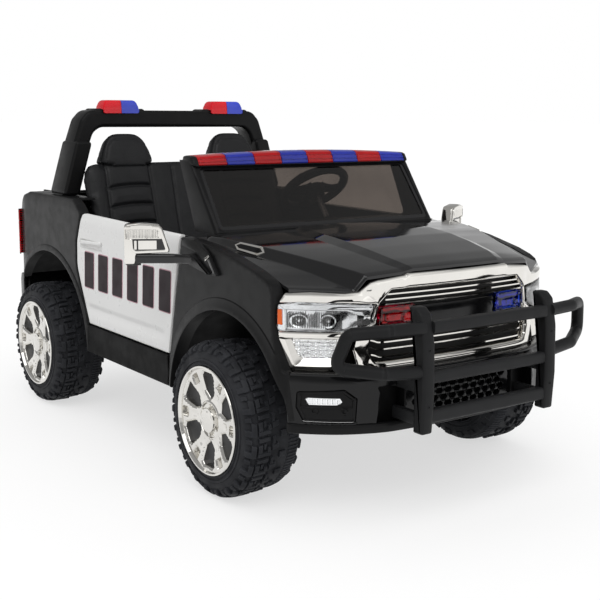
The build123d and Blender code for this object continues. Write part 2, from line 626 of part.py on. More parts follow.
# --------------------------------------------------------------------------- bull bar
BULL_Y = 145.5
BULL_WIDTH = 25.5
BULL_TOP = 379.0
BULL_BOTTOM = 168.0
BULL_DEPTH = 27.0
BULL_ROUND = 14.0
CROSS_BARS = ((346.0, 20.0), (262.0, 20.0), (196.0, 22.0))  # middle height and height
CROSS_DEPTH = 18.0
CROSS_BACK = 14.0  # middle of the cross bars behind the truck's front end
BRACKET = (14.0, 22.0)
BRACKET_HEIGHTS = (246.0, 190.0)
HOOP_OUT = CABIN_HALF + 1.3
HOOP_TOP_Z = 347.0
HOOP_LOW_Z = 279.0
HOOP_R = 10.0
HOOP_BEND = 16.0
with BuildPart() as bull_bar:
    for side in SIDES.values():
        # upright, bowed forward a little, its top turned back
        with BuildSketch(Plane.XZ.offset(-side * BULL_Y - BULL_WIDTH / 2)) as upright:
            with BuildLine():
                Polyline(
                    (FRONT_END - 4.0, BULL_BOTTOM),
                    (FRONT_END, BULL_BOTTOM + 67.0),
                    (FRONT_END - 3.0, BULL_TOP - 59.0),
                    (FRONT_END - 14.0, BULL_TOP - 13.0),
                    (FRONT_END - 26.0, BULL_TOP),
                    (FRONT_END - 44.0, BULL_TOP),
                    (FRONT_END - 34.0, BULL_TOP - 39.0),
                    (FRONT_END - BULL_DEPTH, BULL_TOP - 79.0),
                    (FRONT_END - BULL_DEPTH, BULL_BOTTOM),
                    close=True,
                )
            make_face()
            bend = (FRONT_END - 14.0, side * BULL_Y, BULL_TOP - 13.0)
            fillet(upright.vertices().sort_by_distance(bend)[0], BULL_ROUND)
        extrude(amount=BULL_WIDTH)
        # brackets back to the bumper
        for z in BRACKET_HEIGHTS:
            with BuildSketch(Plane.YZ.offset(NOSE_X)):
                with Locations((side * BULL_Y, z)):
                    Rectangle(*BRACKET)
            extrude(amount=FRONT_END - BULL_DEPTH - NOSE_X)
        # side hoop
        hoop_mid = (BULL_Y + HOOP_OUT) / 2
        hoop_path_points = [
            (FRONT_END - CROSS_BACK, side * BULL_Y, HOOP_TOP_Z),
            (FRONT_END - 22.0, side * hoop_mid, HOOP_TOP_Z),
            (FRONT_END - 56.0, side * (HOOP_OUT - HOOP_R), HOOP_TOP_Z - 8.0),
            (FRONT_END - 62.0, side * (HOOP_OUT - HOOP_R), HOOP_LOW_Z + 8.0),
            (FRONT_END - 24.0, side * hoop_mid, HOOP_LOW_Z - 8.0),
            (FRONT_END - CROSS_BACK, side * BULL_Y, HOOP_LOW_Z - 12.0),
        ]
        with BuildLine():
            hoop_path = FilletPolyline(*hoop_path_points, radius=HOOP_BEND)
        with BuildSketch(Plane(origin=hoop_path @ 0, z_dir=hoop_path % 0)):
            Circle(HOOP_R)
        sweep(path=hoop_path)
    for z, height in CROSS_BARS:
        with BuildSketch(Plane.XZ.offset(-BULL_Y)):
            with Locations((FRONT_END - CROSS_BACK, z)):
                RectangleRounded(CROSS_DEPTH, height, 5.0)
        extrude(amount=2 * BULL_Y)
    add(bumper_solid, mode=Mode.SUBTRACT)
save(bull_bar.part, "bull_bar")

# ------------------------------------------------------------------------- windscreen
WINDSCREEN_HALF = BODY_HALF - SCREEN_INSET
SCREEN_BASE = Vector(FRONT_X - 105.0, BELT_Z - 4.0)  # front foot of the pillars, in the side view
SCREEN_TOP = Vector(FRONT_X - 206.0, BELT_Z + SCREEN_RISE)
PILLAR_DEPTH = 46.0
HEADER_HEIGHT = 14.0
SCREEN_RAIL = 12.0  # height of the frame under the glass
GLASS_BACK = 12.0  # glass in from the frame's face
DASH_TOP = BELT_Z - 20.0
screen_slope = (SCREEN_TOP - SCREEN_BASE).normalized()
screen_length = (SCREEN_TOP - SCREEN_BASE).length


def along_screen(distance, back):
    """Point in the side view, up the screen's slope and back from its face."""
    foot = SCREEN_BASE + screen_slope * distance
    return (foot.X - back, foot.Y)


def screen_slab(low, high, front, back):
    """Corners of a slab between two distances up the screen and two depths."""
    return [
        along_screen(low, front),
        along_screen(low, back),
        along_screen(high, back),
        along_screen(high, front),
    ]


with BuildPart() as windscreen_frame:
    with BuildSketch(side_plane(-WINDSCREEN_HALF)):
        with BuildLine():
            Polyline(*screen_slab(0.0, screen_length, 0.0, PILLAR_DEPTH), close=True)
        make_face()
        # foot of the frame, down to the dash and the fenders
        with BuildLine():
            Polyline(
                along_screen(0.0, 0.0),
                (SCREEN_BASE.X, DASH_TOP),
                (SCREEN_BASE.X - PILLAR_DEPTH, DASH_TOP),
                along_screen(0.0, PILLAR_DEPTH),
                close=True,
            )
        make_face()
    extrude(amount=2 * WINDSCREEN_HALF)
    # opening between the pillars
    with BuildSketch(side_plane(-WINDSCREEN_HALF + PILLAR_WIDTH)):
        with BuildLine():
            through = screen_slab(SCREEN_RAIL, screen_length - HEADER_HEIGHT, -PILLAR_DEPTH, 2 * PILLAR_DEPTH)
            Polyline(*through, close=True)
        make_face()
    extrude(amount=2 * (WINDSCREEN_HALF - PILLAR_WIDTH), mode=Mode.SUBTRACT)
save(windscreen_frame.part, "windscreen_frame")

with BuildPart() as windscreen_glass:
    with BuildSketch(side_plane(-WINDSCREEN_HALF + PILLAR_WIDTH + TOUCH)):
        with BuildLine():
            pane_high = screen_length - HEADER_HEIGHT - TOUCH
            Polyline(*screen_slab(SCREEN_RAIL + TOUCH, pane_high, GLASS_BACK, GLASS_BACK + GLASS), close=True)
        make_face()
    extrude(amount=2 * (WINDSCREEN_HALF - PILLAR_WIDTH - TOUCH))
save(windscreen_glass.part, "windscreen_glass")

# -------------------------------------------------------------------------- light bar
LIGHT_HALF = WINDSCREEN_HALF - 12.0
LIGHT_BASE = 5.0
LENS_HEIGHT = 17.0
LENS_DEPTH = 34.0
LENS_TAPER = 12.0
light_x = SCREEN_TOP.X - PILLAR_DEPTH / 2 + 4.0
with BuildPart() as light_bar_base:
    with BuildSketch(Plane.XY.offset(SCREEN_TOP.Y)):
        with Locations((light_x, 0)):
            RectangleRounded(LENS_DEPTH + 8.0, 2 * LIGHT_HALF, 4.0)
    extrude(amount=LIGHT_BASE)
save(light_bar_base.part, "light_bar_base")

segment_width = 2 * LIGHT_HALF / LIGHT_SEGMENTS
for name, first in (("light_bar_red", 0), ("light_bar_blue", 1)):
    with BuildPart() as light_bar_lens:
        for segment in range(first, LIGHT_SEGMENTS, 2):
            lens_y = -LIGHT_HALF + (segment + 0.5) * segment_width
            with BuildSketch(Plane.XY.offset(SCREEN_TOP.Y + LIGHT_BASE)):
                with Locations((light_x, lens_y)):
                    Rectangle(LENS_DEPTH, segment_width - 2 * TOUCH)
            extrude(amount=LENS_HEIGHT, taper=LENS_TAPER)
    save(light_bar_lens.part, name)

# ------------------------------------------------------------------ dash and steering
DASH_DEPTH = 140.0
DASH_FACE = 94.0  # height of its rear face
TUBE_R = 17.0
TUBE_START = 84.0
TUBE_LENGTH = 120.0
dash_rear = SCREEN_BASE.X - DASH_DEPTH
with BuildPart() as dashboard:
    with BuildSketch(side_plane(-CABIN_HALF)):
        with BuildLine():
            Polyline(
                (SCREEN_BASE.X, DASH_TOP - TOUCH),
                (dash_rear + 20.0, DASH_TOP - TOUCH),
                (dash_rear, DASH_TOP - 16.0),
                (dash_rear + 20.0, DASH_TOP - DASH_FACE),
                (dash_rear + 20.0 + WALL, DASH_TOP - DASH_FACE),
                (dash_rear + WALL + 2.0, DASH_TOP - 20.0),
                (dash_rear + 24.0, DASH_TOP - TOUCH - WALL),
                (SCREEN_BASE.X, DASH_TOP - TOUCH - WALL),
                close=True,
            )
        make_face()
    extrude(amount=2 * CABIN_HALF)
    # hole for the column
    with BuildSketch(Plane(origin=WHEEL_CENTRE, z_dir=COLUMN_DIR)):
        Circle(TUBE_R)
    extrude(amount=SHAFT_LENGTH, mode=Mode.SUBTRACT)
save(dashboard.part, "dashboard")

with BuildPart() as steering_column:
    with BuildSketch(Plane(origin=WHEEL_CENTRE + COLUMN_DIR * TUBE_START, z_dir=COLUMN_DIR)):
        Circle(TUBE_R)
        Circle(SHAFT_R + RUNNING, mode=Mode.SUBTRACT)
    extrude(amount=TUBE_LENGTH)
save(steering_column.part, "steering_column")

RIM_TUBE_R = 10.0
HUB_R = 24.0
HUB_RANGE = (-8.0, 20.0)  # along the column, from the rim's plane
SPOKE = (18.0, 8.0)
SPOKE_ANGLES = (0.0, 180.0, 270.0)
SPOKE_REACH = STEERING_WHEEL_R - RIM_TUBE_R
wheel_plane = Plane(origin=WHEEL_CENTRE, x_dir=(0, 1, 0), z_dir=COLUMN_DIR)
rim_plane = Plane(origin=WHEEL_CENTRE, x_dir=wheel_plane.x_dir, z_dir=wheel_plane.y_dir)
with BuildPart() as steering_wheel:
    with BuildSketch(rim_plane):
        with Locations((SPOKE_REACH, 0)):
            Circle(RIM_TUBE_R)
    revolve(axis=Axis(WHEEL_CENTRE, COLUMN_DIR))
    with BuildSketch(wheel_plane.offset(HUB_RANGE[0])):
        Circle(HUB_R)
    extrude(amount=HUB_RANGE[1] - HUB_RANGE[0])
    for angle in SPOKE_ANGLES:
        with BuildSketch(wheel_plane.offset(-SPOKE[1] / 2)):
            with Locations(Rotation(0, 0, angle)):
                with Locations((SPOKE_REACH / 2, 0)):
                    Rectangle(SPOKE_REACH, SPOKE[0])
        extrude(amount=SPOKE[1])
save(steering_wheel.part, "steering_wheel")

with BuildPart() as steering_shaft:
    with BuildSketch(wheel_plane.offset(HUB_RANGE[1])):
        Circle(SHAFT_R)
    extrude(amount=SHAFT_LENGTH - HUB_RANGE[1] + SHAFT_R)
    with BuildSketch(Plane(origin=shaft_foot, z_dir=CRANK_DIR)):
        Circle(CRANK_R)
    extrude(amount=CRANK)
    with Locations(Plane(origin=ball_centre, x_dir=(0, 1, 0), z_dir=CRANK_DIR)):
        Sphere(BALL_R)
save(steering_shaft.part, "steering_shaft")

# ------------------------------------------------------------------------------ seats
SEAT_HALF = BODY_IN - SEAT_INSET
SEAT_ROUND = 12.0
SEAT_BASE_Z = SEAT_FLOOR_Z + WALL + TOUCH
CUSHION_FRONT = SEAT_RISER_X + 4.0
CUSHION_REAR = REAR_X + 210.0
CUSHION_TOP = SEAT_FLOOR_Z + 70.0
BACK_RAKE = 126.0
BACK_THICK = 48.0
BACK_FOOT_HALF = WELL_INNER - WALL - 2.0
with BuildPart() as seat_cushion:
    with BuildSketch(side_plane(-SEAT_HALF)) as cushion_side:
        with BuildLine():
            Polyline(
                (CUSHION_FRONT, SEAT_BASE_Z),
                (CUSHION_REAR, SEAT_BASE_Z),
                (CUSHION_REAR, CUSHION_TOP - 14.0),
                (CUSHION_FRONT, CUSHION_TOP),
                close=True,
            )
        make_face()
        front_top = cushion_side.vertices().sort_by_distance((CUSHION_FRONT, SEAT_HALF, CUSHION_TOP))[0]
        fillet(front_top, SEAT_ROUND)
    extrude(amount=2 * SEAT_HALF)
save(seat_cushion.part, "seat_cushion")

BACK_FOOT = (REAR_X + 206.0, CUSHION_TOP + 2.0)
BACK_TOP = (BACK_FOOT[0] - BACK_RAKE, CUSHION_TOP + 260.0)
with BuildPart() as seat_back:
    with BuildSketch(side_plane(-SEAT_HALF)) as back_side:
        with BuildLine():
            Polyline(
                BACK_FOOT,
                BACK_TOP,
                (BACK_TOP[0] - BACK_THICK * 0.5, BACK_TOP[1]),
                (BACK_TOP[0] - BACK_THICK, BACK_TOP[1] - 20.0),
                (BACK_FOOT[0] - BACK_THICK - 10.0, BACK_FOOT[1] + 32.0),
                (BACK_FOOT[0] - BACK_THICK * 0.6, BACK_FOOT[1]),
                close=True,
            )
        make_face()
        back_front = back_side.vertices().sort_by_distance((BACK_TOP[0], SEAT_HALF, BACK_TOP[1]))[0]
        fillet(back_front, SEAT_ROUND)
    extrude(amount=2 * SEAT_HALF)
    # shoulders slope in between the roll bar's legs
    with BuildSketch(Plane.YZ.offset(REAR_X)):
        with BuildLine():
            shoulder = [
                (SEAT_HALF - 2.0, BACK_FOOT[1]),
                (SEAT_HALF - 2.0, BACK_TOP[1] - 66.0),
                (SEAT_HALF - 10.0, BACK_TOP[1] - 36.0),
                (SEAT_HALF - 35.0, BACK_TOP[1]),
            ]
            Polyline(*shoulder, *[(-y, z) for y, z in shoulder[::-1]], close=True)
        make_face()
    extrude(amount=WHEELBASE, mode=Mode.INTERSECT)
    # foot down to the seat deck, between the wheel wells
    with BuildSketch(Plane.XY.offset(SEAT_BASE_Z)):
        with Locations((CUSHION_REAR - TOUCH - BACK_THICK / 2, 0)):
            Rectangle(BACK_THICK, 2 * BACK_FOOT_HALF)
    extrude(amount=BACK_FOOT[1] + SEAT_ROUND - SEAT_BASE_Z)
save(seat_back.part, "seat_back")

HEADREST_Y = SEAT_HALF - 103.0
HEADREST_HALF = 54.0
HEADREST_RISE = 72.0
HEADREST_ROUND = 10.0
headrest_top = BACK_TOP[1] + HEADREST_RISE
headrest_foot = BACK_TOP[1] + TOUCH
with BuildPart() as headrests:
    for side in SIDES.values():
        with BuildSketch(Plane.XZ.offset(-side * HEADREST_Y - HEADREST_HALF)):
            with BuildLine():
                Polyline(
                    (BACK_TOP[0] + 6.0, headrest_foot),
                    (BACK_TOP[0] - 14.0, headrest_top - 8.0),
                    (BACK_TOP[0] - 26.0, headrest_top),
                    (BACK_TOP[0] - 44.0, headrest_top - 10.0),
                    (BACK_TOP[0] - 38.0, headrest_foot),
                    close=True,
                )
            make_face()
        extrude(amount=2 * HEADREST_HALF)
    corners = headrests.edges().filter_by(Axis.X, tolerance=40).group_by(Axis.Z)[-1]
    fillet(corners, HEADREST_ROUND)
save(headrests.part, "headrests")

# --------------------------------------------------------------------------- roll bar
ROLL_BAR_TOP_Z = RAIL_Z + ROLL_BAR_RISE
BAR_REAR = REAR_X - 18.0
BAR_DEPTH = 64.0
BAR_THICK = 38.0  # height of the bar's top
LEG_FOOT_Y = BODY_IN
LEG_WIDTH = 34.0
SLEEVE_RISE = 125.0
SLEEVE_PROUD = 7.0
BAR_ROUND = 14.0
bar_outline = [
    (-LEG_FOOT_Y, RAIL_Z),
    (36.0 - LEG_FOOT_Y, RAIL_Z + 127.0),
    (54.0 - LEG_FOOT_Y, ROLL_BAR_TOP_Z - 16.0),
    (70.0 - LEG_FOOT_Y, ROLL_BAR_TOP_Z),
]
bar_opening = [
    (LEG_WIDTH - LEG_FOOT_Y, RAIL_Z),
    (68.0 - LEG_FOOT_Y, RAIL_Z + 105.0),
    (86.0 - LEG_FOOT_Y, ROLL_BAR_TOP_Z - BAR_THICK - 8.0),
    (100.0 - LEG_FOOT_Y, ROLL_BAR_TOP_Z - BAR_THICK),
]
with BuildPart() as roll_bar:
    with BuildSketch(Plane.YZ.offset(BAR_REAR)) as hoop:
        with BuildLine():
            Polyline(*both_sides(bar_outline), close=True)
        make_face()
        fillet(hoop.vertices().filter_by_position(Axis.Z, ROLL_BAR_TOP_Z - 17.0, ROLL_BAR_TOP_Z), BAR_ROUND)
        with BuildLine():
            Polyline(*both_sides(bar_opening), close=True)
        make_face(mode=Mode.SUBTRACT)
    extrude(amount=BAR_DEPTH)
    # wider sleeves at the feet
    for side in SIDES.values():
        with BuildSketch(Plane.YZ.offset(BAR_REAR - SLEEVE_PROUD)):
            with BuildLine():
                Polyline(
                    (side * (LEG_FOOT_Y + 4.0), RAIL_Z),
                    (side * (LEG_FOOT_Y - 32.0), RAIL_Z + SLEEVE_RISE),
                    (side * (LEG_FOOT_Y - 76.0), RAIL_Z + SLEEVE_RISE),
                    (side * (LEG_FOOT_Y - LEG_WIDTH - 4.0), RAIL_Z),
                    close=True,
                )
            make_face()
        extrude(amount=BAR_DEPTH + 3 * SLEEVE_PROUD)
save(roll_bar.part, "roll_bar")

BEACON_Y = LEG_FOOT_Y - 156.0
BEACON_BASE = 4.0
BEACON_RIM = 3.0  # base out beyond the lenses
BEACON_TAPER = 14.0
beacon_x = BAR_REAR + BAR_DEPTH / 2
with BuildPart() as beacon_bases:
    for side in SIDES.values():
        with BuildSketch(Plane.XY.offset(ROLL_BAR_TOP_Z)):
            with Locations((beacon_x, side * BEACON_Y)):
                RectangleRounded(BEACON_DEPTH + 2 * BEACON_RIM, BEACON_WIDTH + 2 * BEACON_RIM, 8.0)
        extrude(amount=BEACON_BASE)
save(beacon_bases.part, "beacon_bases")

for name, half in (("beacons_red", -1), ("beacons_blue", 1)):
    with BuildPart() as beacons:
        for side in SIDES.values():
            with BuildSketch(Plane.XY.offset(ROLL_BAR_TOP_Z + BEACON_BASE)):
                with Locations((beacon_x, side * BEACON_Y + half * (BEACON_WIDTH / 4 + TOUCH))):
                    Rectangle(BEACON_DEPTH, BEACON_WIDTH / 2)
            extrude(amount=BEACON_HEIGHT - BEACON_BASE, taper=BEACON_TAPER)
    save(beacons.part, name)

# ---------------------------------------------------------------------------- mirrors
MIRROR_TIP = BODY_HALF + MIRROR_REACH
MIRROR_LOW = BELT_Z - 50.0
MIRROR_HEIGHT = 71.0
ARM_LOW = MIRROR_LOW - 12.0
SAIL_THICK = 6.0
with BuildPart() as mirror_arm:
    # sail on the fender and the arm out to the head
    with BuildSketch(side_plane(BODY_HALF)):
        with BuildLine():
            Polyline(
                (FRONT_X - 142.0, BELT_Z - 30.0),
                (FRONT_X - 128.0, BELT_Z - 23.0),
                (FRONT_X - 86.0, BELT_Z - 26.0),
                (FRONT_X - 24.0, BELT_Z - 72.0),
                (FRONT_X - 60.0, BELT_Z - 68.0),
                close=True,
            )
        make_face()
    extrude(amount=SAIL_THICK)
    with BuildSketch(Plane.XY.offset(ARM_LOW)):
        with BuildLine():
            Polyline(
                (FRONT_X - 90.0, -BODY_HALF),
                (FRONT_X - 150.0, 81.0 - MIRROR_TIP),
                (FRONT_X - 206.0, 14.0 - MIRROR_TIP),
                (FRONT_X - 186.0, 5.0 - MIRROR_TIP),
                (FRONT_X - 132.0, 67.0 - MIRROR_TIP),
                (FRONT_X - 62.0, -BODY_HALF),
                close=True,
            )
        make_face()
    extrude(amount=MIRROR_LOW - ARM_LOW)
save_pair(mirror_arm.part, "mirror_arm")

with BuildPart() as mirror_head:
    with BuildSketch(Plane.XY.offset(MIRROR_LOW + TOUCH)):
        with BuildLine():
            Polyline(
                (FRONT_X - 138.0, 79.0 - MIRROR_TIP),
                (FRONT_X - 160.0, 83.0 - MIRROR_TIP),
                (FRONT_X - 206.0, 12.0 - MIRROR_TIP),
                (FRONT_X - 196.0, -MIRROR_TIP),
                (FRONT_X - 180.0, 2.0 - MIRROR_TIP),
                close=True,
            )
        make_face()
    extrude(amount=MIRROR_HEIGHT)
save_pair(mirror_head.part, "mirror_head")

# -------------------------------------------------------------- bed, tailgate, rear end
BED_HALF = RAIL_INNER - TOUCH
BED_FRONT_X = REAR_X - 24.0
TAILGATE_THICK = 18.0
TAILGATE_HALF = RAIL_INNER - 12.0
TAILGATE_LOW = BED_FLOOR_Z + WALL
TAILGATE_TOP = RAIL_Z - 6.0
HINGE_PIN_R = 3.0
HINGE_PIN_REACH = 14.0
POST_GAP = 5.0  # tailgate to the posts beside it
tailgate_x = REAR_FACE + TAILGATE_THICK / 2
tailgate_pin_z = TAILGATE_LOW + TAILGATE_THICK / 2
with BuildPart() as bed_tub:
    with BuildSketch(Plane.XY.offset(BED_FLOOR_Z)):
        with Locations(((BED_FRONT_X + REAR_DECK_X) / 2, 0)):
            Rectangle(BED_FRONT_X - REAR_DECK_X, 2 * BED_HALF)
    extrude(amount=RAIL_Z - BED_FLOOR_Z)
    with BuildSketch(Plane.XY.offset(BED_FLOOR_Z + WALL)):
        with Locations(((BED_FRONT_X + REAR_DECK_X) / 2 - WALL, 0)):
            Rectangle(BED_FRONT_X - REAR_DECK_X, 2 * (BED_HALF - WALL))
    extrude(amount=RAIL_Z, mode=Mode.SUBTRACT)
save(bed_tub.part, "bed_tub")

with BuildPart() as tailgate:
    with BuildSketch(Plane.XY.offset(TAILGATE_LOW)):
        with Locations((tailgate_x, 0)):
            Rectangle(TAILGATE_THICK, 2 * TAILGATE_HALF)
    extrude(amount=TAILGATE_TOP - TAILGATE_LOW)
    lower_edges = tailgate.edges().filter_by(Axis.Y).group_by(Axis.Z)[0]
    fillet(lower_edges, TAILGATE_THICK / 2 - 1.0)
    # hinge pins at the lower corners
    with BuildSketch(side_plane(-TAILGATE_HALF - HINGE_PIN_REACH)):
        with Locations((tailgate_x, tailgate_pin_z)):
            Circle(HINGE_PIN_R)
    extrude(amount=2 * (TAILGATE_HALF + HINGE_PIN_REACH))
save(tailgate.part, "tailgate")

REAR_BUMPER_TOP = 286.0
REAR_BUMPER_LOW = 205.0
POST_TOP = RAIL_Z - 20.0
post_inner = TAILGATE_HALF + POST_GAP
with BuildPart() as rear_panel:
    with BuildSketch(Plane.XY.offset(REAR_BUMPER_TOP)):
        with Locations((REAR_FACE + PANEL / 2, 0)):
            Rectangle(PANEL, 2 * CABIN_HALF)
    extrude(amount=BED_FLOOR_Z - TOUCH - REAR_BUMPER_TOP)
    for side in SIDES.values():
        with BuildSketch(Plane.XY.offset(BED_FLOOR_Z - TOUCH)):
            with Locations((REAR_FACE + PANEL / 2, side * (post_inner + CABIN_HALF) / 2)):
                Rectangle(PANEL, CABIN_HALF - post_inner)
        extrude(amount=POST_TOP - BED_FLOOR_Z)
    with BuildSketch(side_plane(-TAILGATE_HALF - HINGE_PIN_REACH - TOUCH)):
        with Locations((tailgate_x, tailgate_pin_z)):
            Circle(HINGE_PIN_R + RUNNING)
    extrude(amount=2 * (TAILGATE_HALF + HINGE_PIN_REACH + TOUCH), mode=Mode.SUBTRACT)
save(rear_panel.part, "rear_panel")

BUMPER_HALF = BODY_HALF - 4.0
BUMPER_ROUND = 6.0
with BuildPart() as rear_bumper:
    with BuildSketch(Plane.XY.offset(REAR_BUMPER_LOW)):
        with BuildLine():
            Polyline(
                (REAR_END + 14.0, -BUMPER_HALF),
                (REAR_END + 4.0, -BODY_IN),
                (REAR_END, 82.0 - BODY_HALF),
                (REAR_END, BODY_HALF - 82.0),
                (REAR_END + 4.0, BODY_IN),
                (REAR_END + 14.0, BUMPER_HALF),
                (REAR_FACE - TOUCH, BUMPER_HALF),
                (REAR_FACE - TOUCH, -BUMPER_HALF),
                close=True,
            )
        make_face()
    extrude(amount=REAR_BUMPER_TOP - REAR_BUMPER_LOW)
    top_edges = rear_bumper.edges().group_by(Axis.Z)[-1]
    fillet(top_edges.filter_by_position(Axis.X, REAR_END, REAR_END + 4.5), BUMPER_ROUND)
    # inner flange under the rear panel
    with BuildSketch(Plane.XY.offset(REAR_BUMPER_LOW)):
        with Locations((REAR_FACE + (PANEL - WALL) / 2, 0)):
            Rectangle(PANEL + WALL, 2 * CABIN_HALF)
    extrude(amount=REAR_BUMPER_TOP - TOUCH - REAR_BUMPER_LOW)
save(rear_bumper.part, "rear_bumper")

LAMP_LOW = RAIL_Z - 159.0
LAMP_HIGH = RAIL_Z - 47.0
LAMP_PROUD = 5.0
LAMP_WRAP = 14.0  # lamp's reach round the corner
lamp_inner = post_inner + 3.0
with BuildPart() as tail_lamp:
    with BuildSketch(Plane.XY.offset(LAMP_LOW)):
        with BuildLine():
            Polyline(
                (REAR_FACE - TOUCH, -lamp_inner),
                (REAR_FACE - TOUCH, -BODY_HALF - TOUCH),
                (REAR_FACE + LAMP_WRAP, -BODY_HALF - TOUCH),
                (REAR_FACE + LAMP_WRAP, 1.0 - BODY_HALF - LAMP_PROUD),
                (REAR_FACE + 2.0 - LAMP_PROUD, 1.0 - BODY_HALF - LAMP_PROUD),
                (REAR_FACE - LAMP_PROUD, -BODY_HALF),
                (REAR_FACE - LAMP_PROUD, -lamp_inner),
                close=True,
            )
        make_face()
    extrude(amount=LAMP_HIGH - LAMP_LOW)
save_pair(tail_lamp.part, "tail_lamp")

# ----------------------------------------------------------------------------- wheels
TREAD_EDGE = 10.0
BARREL = 3.0  # tyre's wall under the rim's seat
WEB_IN = TYRE_IN + 21.0  # wheel's web, in from its face so that the knuckle fits behind it
WEB_OUT = WEB_IN + 8.0
WHEEL_HUB_R = 19.0
HUB_OUT = TYRE_OUT - 23.5
RIM_FACE = TYRE_OUT + 3.5
DISC_IN = HUB_OUT + 4.0
DISC_OUT = DISC_IN + 8.0
RIM_LIP = 9.0
CAP_R = 24.0
WINDOWS = 6
WINDOW_ROUND = 3.0
AXLE_END = HUB_OUT + 3.0
BORE_R = PIN_R + RUNNING
tyre_profile = [
    (RIM_R, TYRE_IN),
    (WHEEL_R - TREAD_EDGE, TYRE_IN),
    (WHEEL_R, TYRE_IN + TREAD_EDGE),
    (WHEEL_R, TYRE_OUT - TREAD_EDGE),
    (WHEEL_R - TREAD_EDGE, TYRE_OUT),
    (RIM_R, TYRE_OUT),
    (RIM_R, WEB_OUT),
    (WHEEL_HUB_R, WEB_OUT),
    (WHEEL_HUB_R, HUB_OUT),
    (BORE_R, HUB_OUT),
    (BORE_R, WEB_IN),
    (RIM_R - BARREL, WEB_IN),
    (RIM_R - BARREL, TYRE_IN),
]
spoke_window = [
    (RIM_R - 62.0, 0.0),
    (RIM_R - 46.0, 19.0),
    (RIM_R - 18.0, 25.0),
    (RIM_R - 18.0, -25.0),
    (RIM_R - 46.0, -19.0),
]
for axle, axle_x in (("front", FRONT_X), ("rear", REAR_X)):
    wheel_axis = Axis((axle_x, 0, WHEEL_R), (0, 1, 0))
    with BuildPart() as tyre:
        with BuildSketch(Plane(origin=(axle_x, 0, WHEEL_R), x_dir=(0, 0, 1), z_dir=(-1, 0, 0))):
            with BuildLine():
                Polyline(*[(radius, -y) for radius, y in tyre_profile], close=True)
            make_face()
        revolve(axis=wheel_axis)
    save_pair(tyre.part, f"tyre_{axle}")

    with BuildPart() as rim:
        # lip, disc and cap
        for low, high, outer, inner in (
            (DISC_IN - 12.0, RIM_FACE, RIM_R - TOUCH, RIM_R - RIM_LIP),
            (DISC_IN, DISC_OUT, RIM_R - TOUCH, 0.0),
            (DISC_OUT, RIM_FACE, CAP_R, 0.0),
        ):
            with BuildSketch(side_plane(low)):
                with Locations((axle_x, WHEEL_R)):
                    Circle(outer)
                    if inner:
                        Circle(inner, mode=Mode.SUBTRACT)
            extrude(amount=high - low)
        # windows between the spokes
        with BuildSketch(side_plane(DISC_IN)) as windows:
            with Locations((axle_x, WHEEL_R)):
                with PolarLocations(0, WINDOWS, start_angle=30.0):
                    with BuildLine():
                        Polyline(*spoke_window, close=True)
                    make_face()
            fillet(windows.vertices(), WINDOW_ROUND)
        extrude(amount=DISC_OUT - DISC_IN, mode=Mode.SUBTRACT)
    save_pair(rim.part, f"rim_{axle}")

# ------------------------------------------------------------------------- front axle
EYE_LOW = WHEEL_R - 25.5  # top of the axle's lower eye
EYE_HIGH = WHEEL_R + 26.5  # underside of its upper eye
EYE_THICK = 6.0
EYE_HALF = 14.0
KINGPIN_PROUD = 4.0
BEAM_HALF = WELL_INNER + 5.0
BEAM_DEPTH = 36.0
BEAM_WIDTH = 50.0
KNUCKLE_R = 11.0
KNUCKLE_END = 0.4  # clearance above and below the knuckle's barrel
with BuildPart() as front_axle:
    with BuildSketch(Plane.XY.offset(BAY_FLOOR_Z - BEAM_DEPTH)):
        with Locations((FRONT_X, 0)):
            Rectangle(BEAM_WIDTH, 2 * BEAM_HALF)
    extrude(amount=BEAM_DEPTH - TOUCH)
    for side in SIDES.values():
        with BuildSketch(Plane.XY.offset(EYE_LOW - EYE_THICK)):
            with Locations((FRONT_X, side * (BEAM_HALF + 2.0))):
                Rectangle(2 * EYE_HALF, 8.0)
        extrude(amount=EYE_HIGH - EYE_LOW + 2 * EYE_THICK)
        for low in (EYE_HIGH, EYE_LOW - EYE_THICK):
            with BuildSketch(Plane.XY.offset(low)):
                with Locations((FRONT_X, side * (BEAM_HALF + KINGPIN_Y) / 2)):
                    Rectangle(2 * EYE_HALF, KINGPIN_Y - BEAM_HALF)
                with Locations((FRONT_X, side * KINGPIN_Y)):
                    Circle(KNUCKLE_R)
            extrude(amount=EYE_THICK)
        with BuildSketch(Plane.XY.offset(EYE_LOW - EYE_THICK - KINGPIN_PROUD)):
            with Locations((FRONT_X, side * KINGPIN_Y)):
                Circle(KINGPIN_R)
        extrude(amount=EYE_HIGH - EYE_LOW + 2 * (EYE_THICK + KINGPIN_PROUD))
save(front_axle.part, "front_axle")

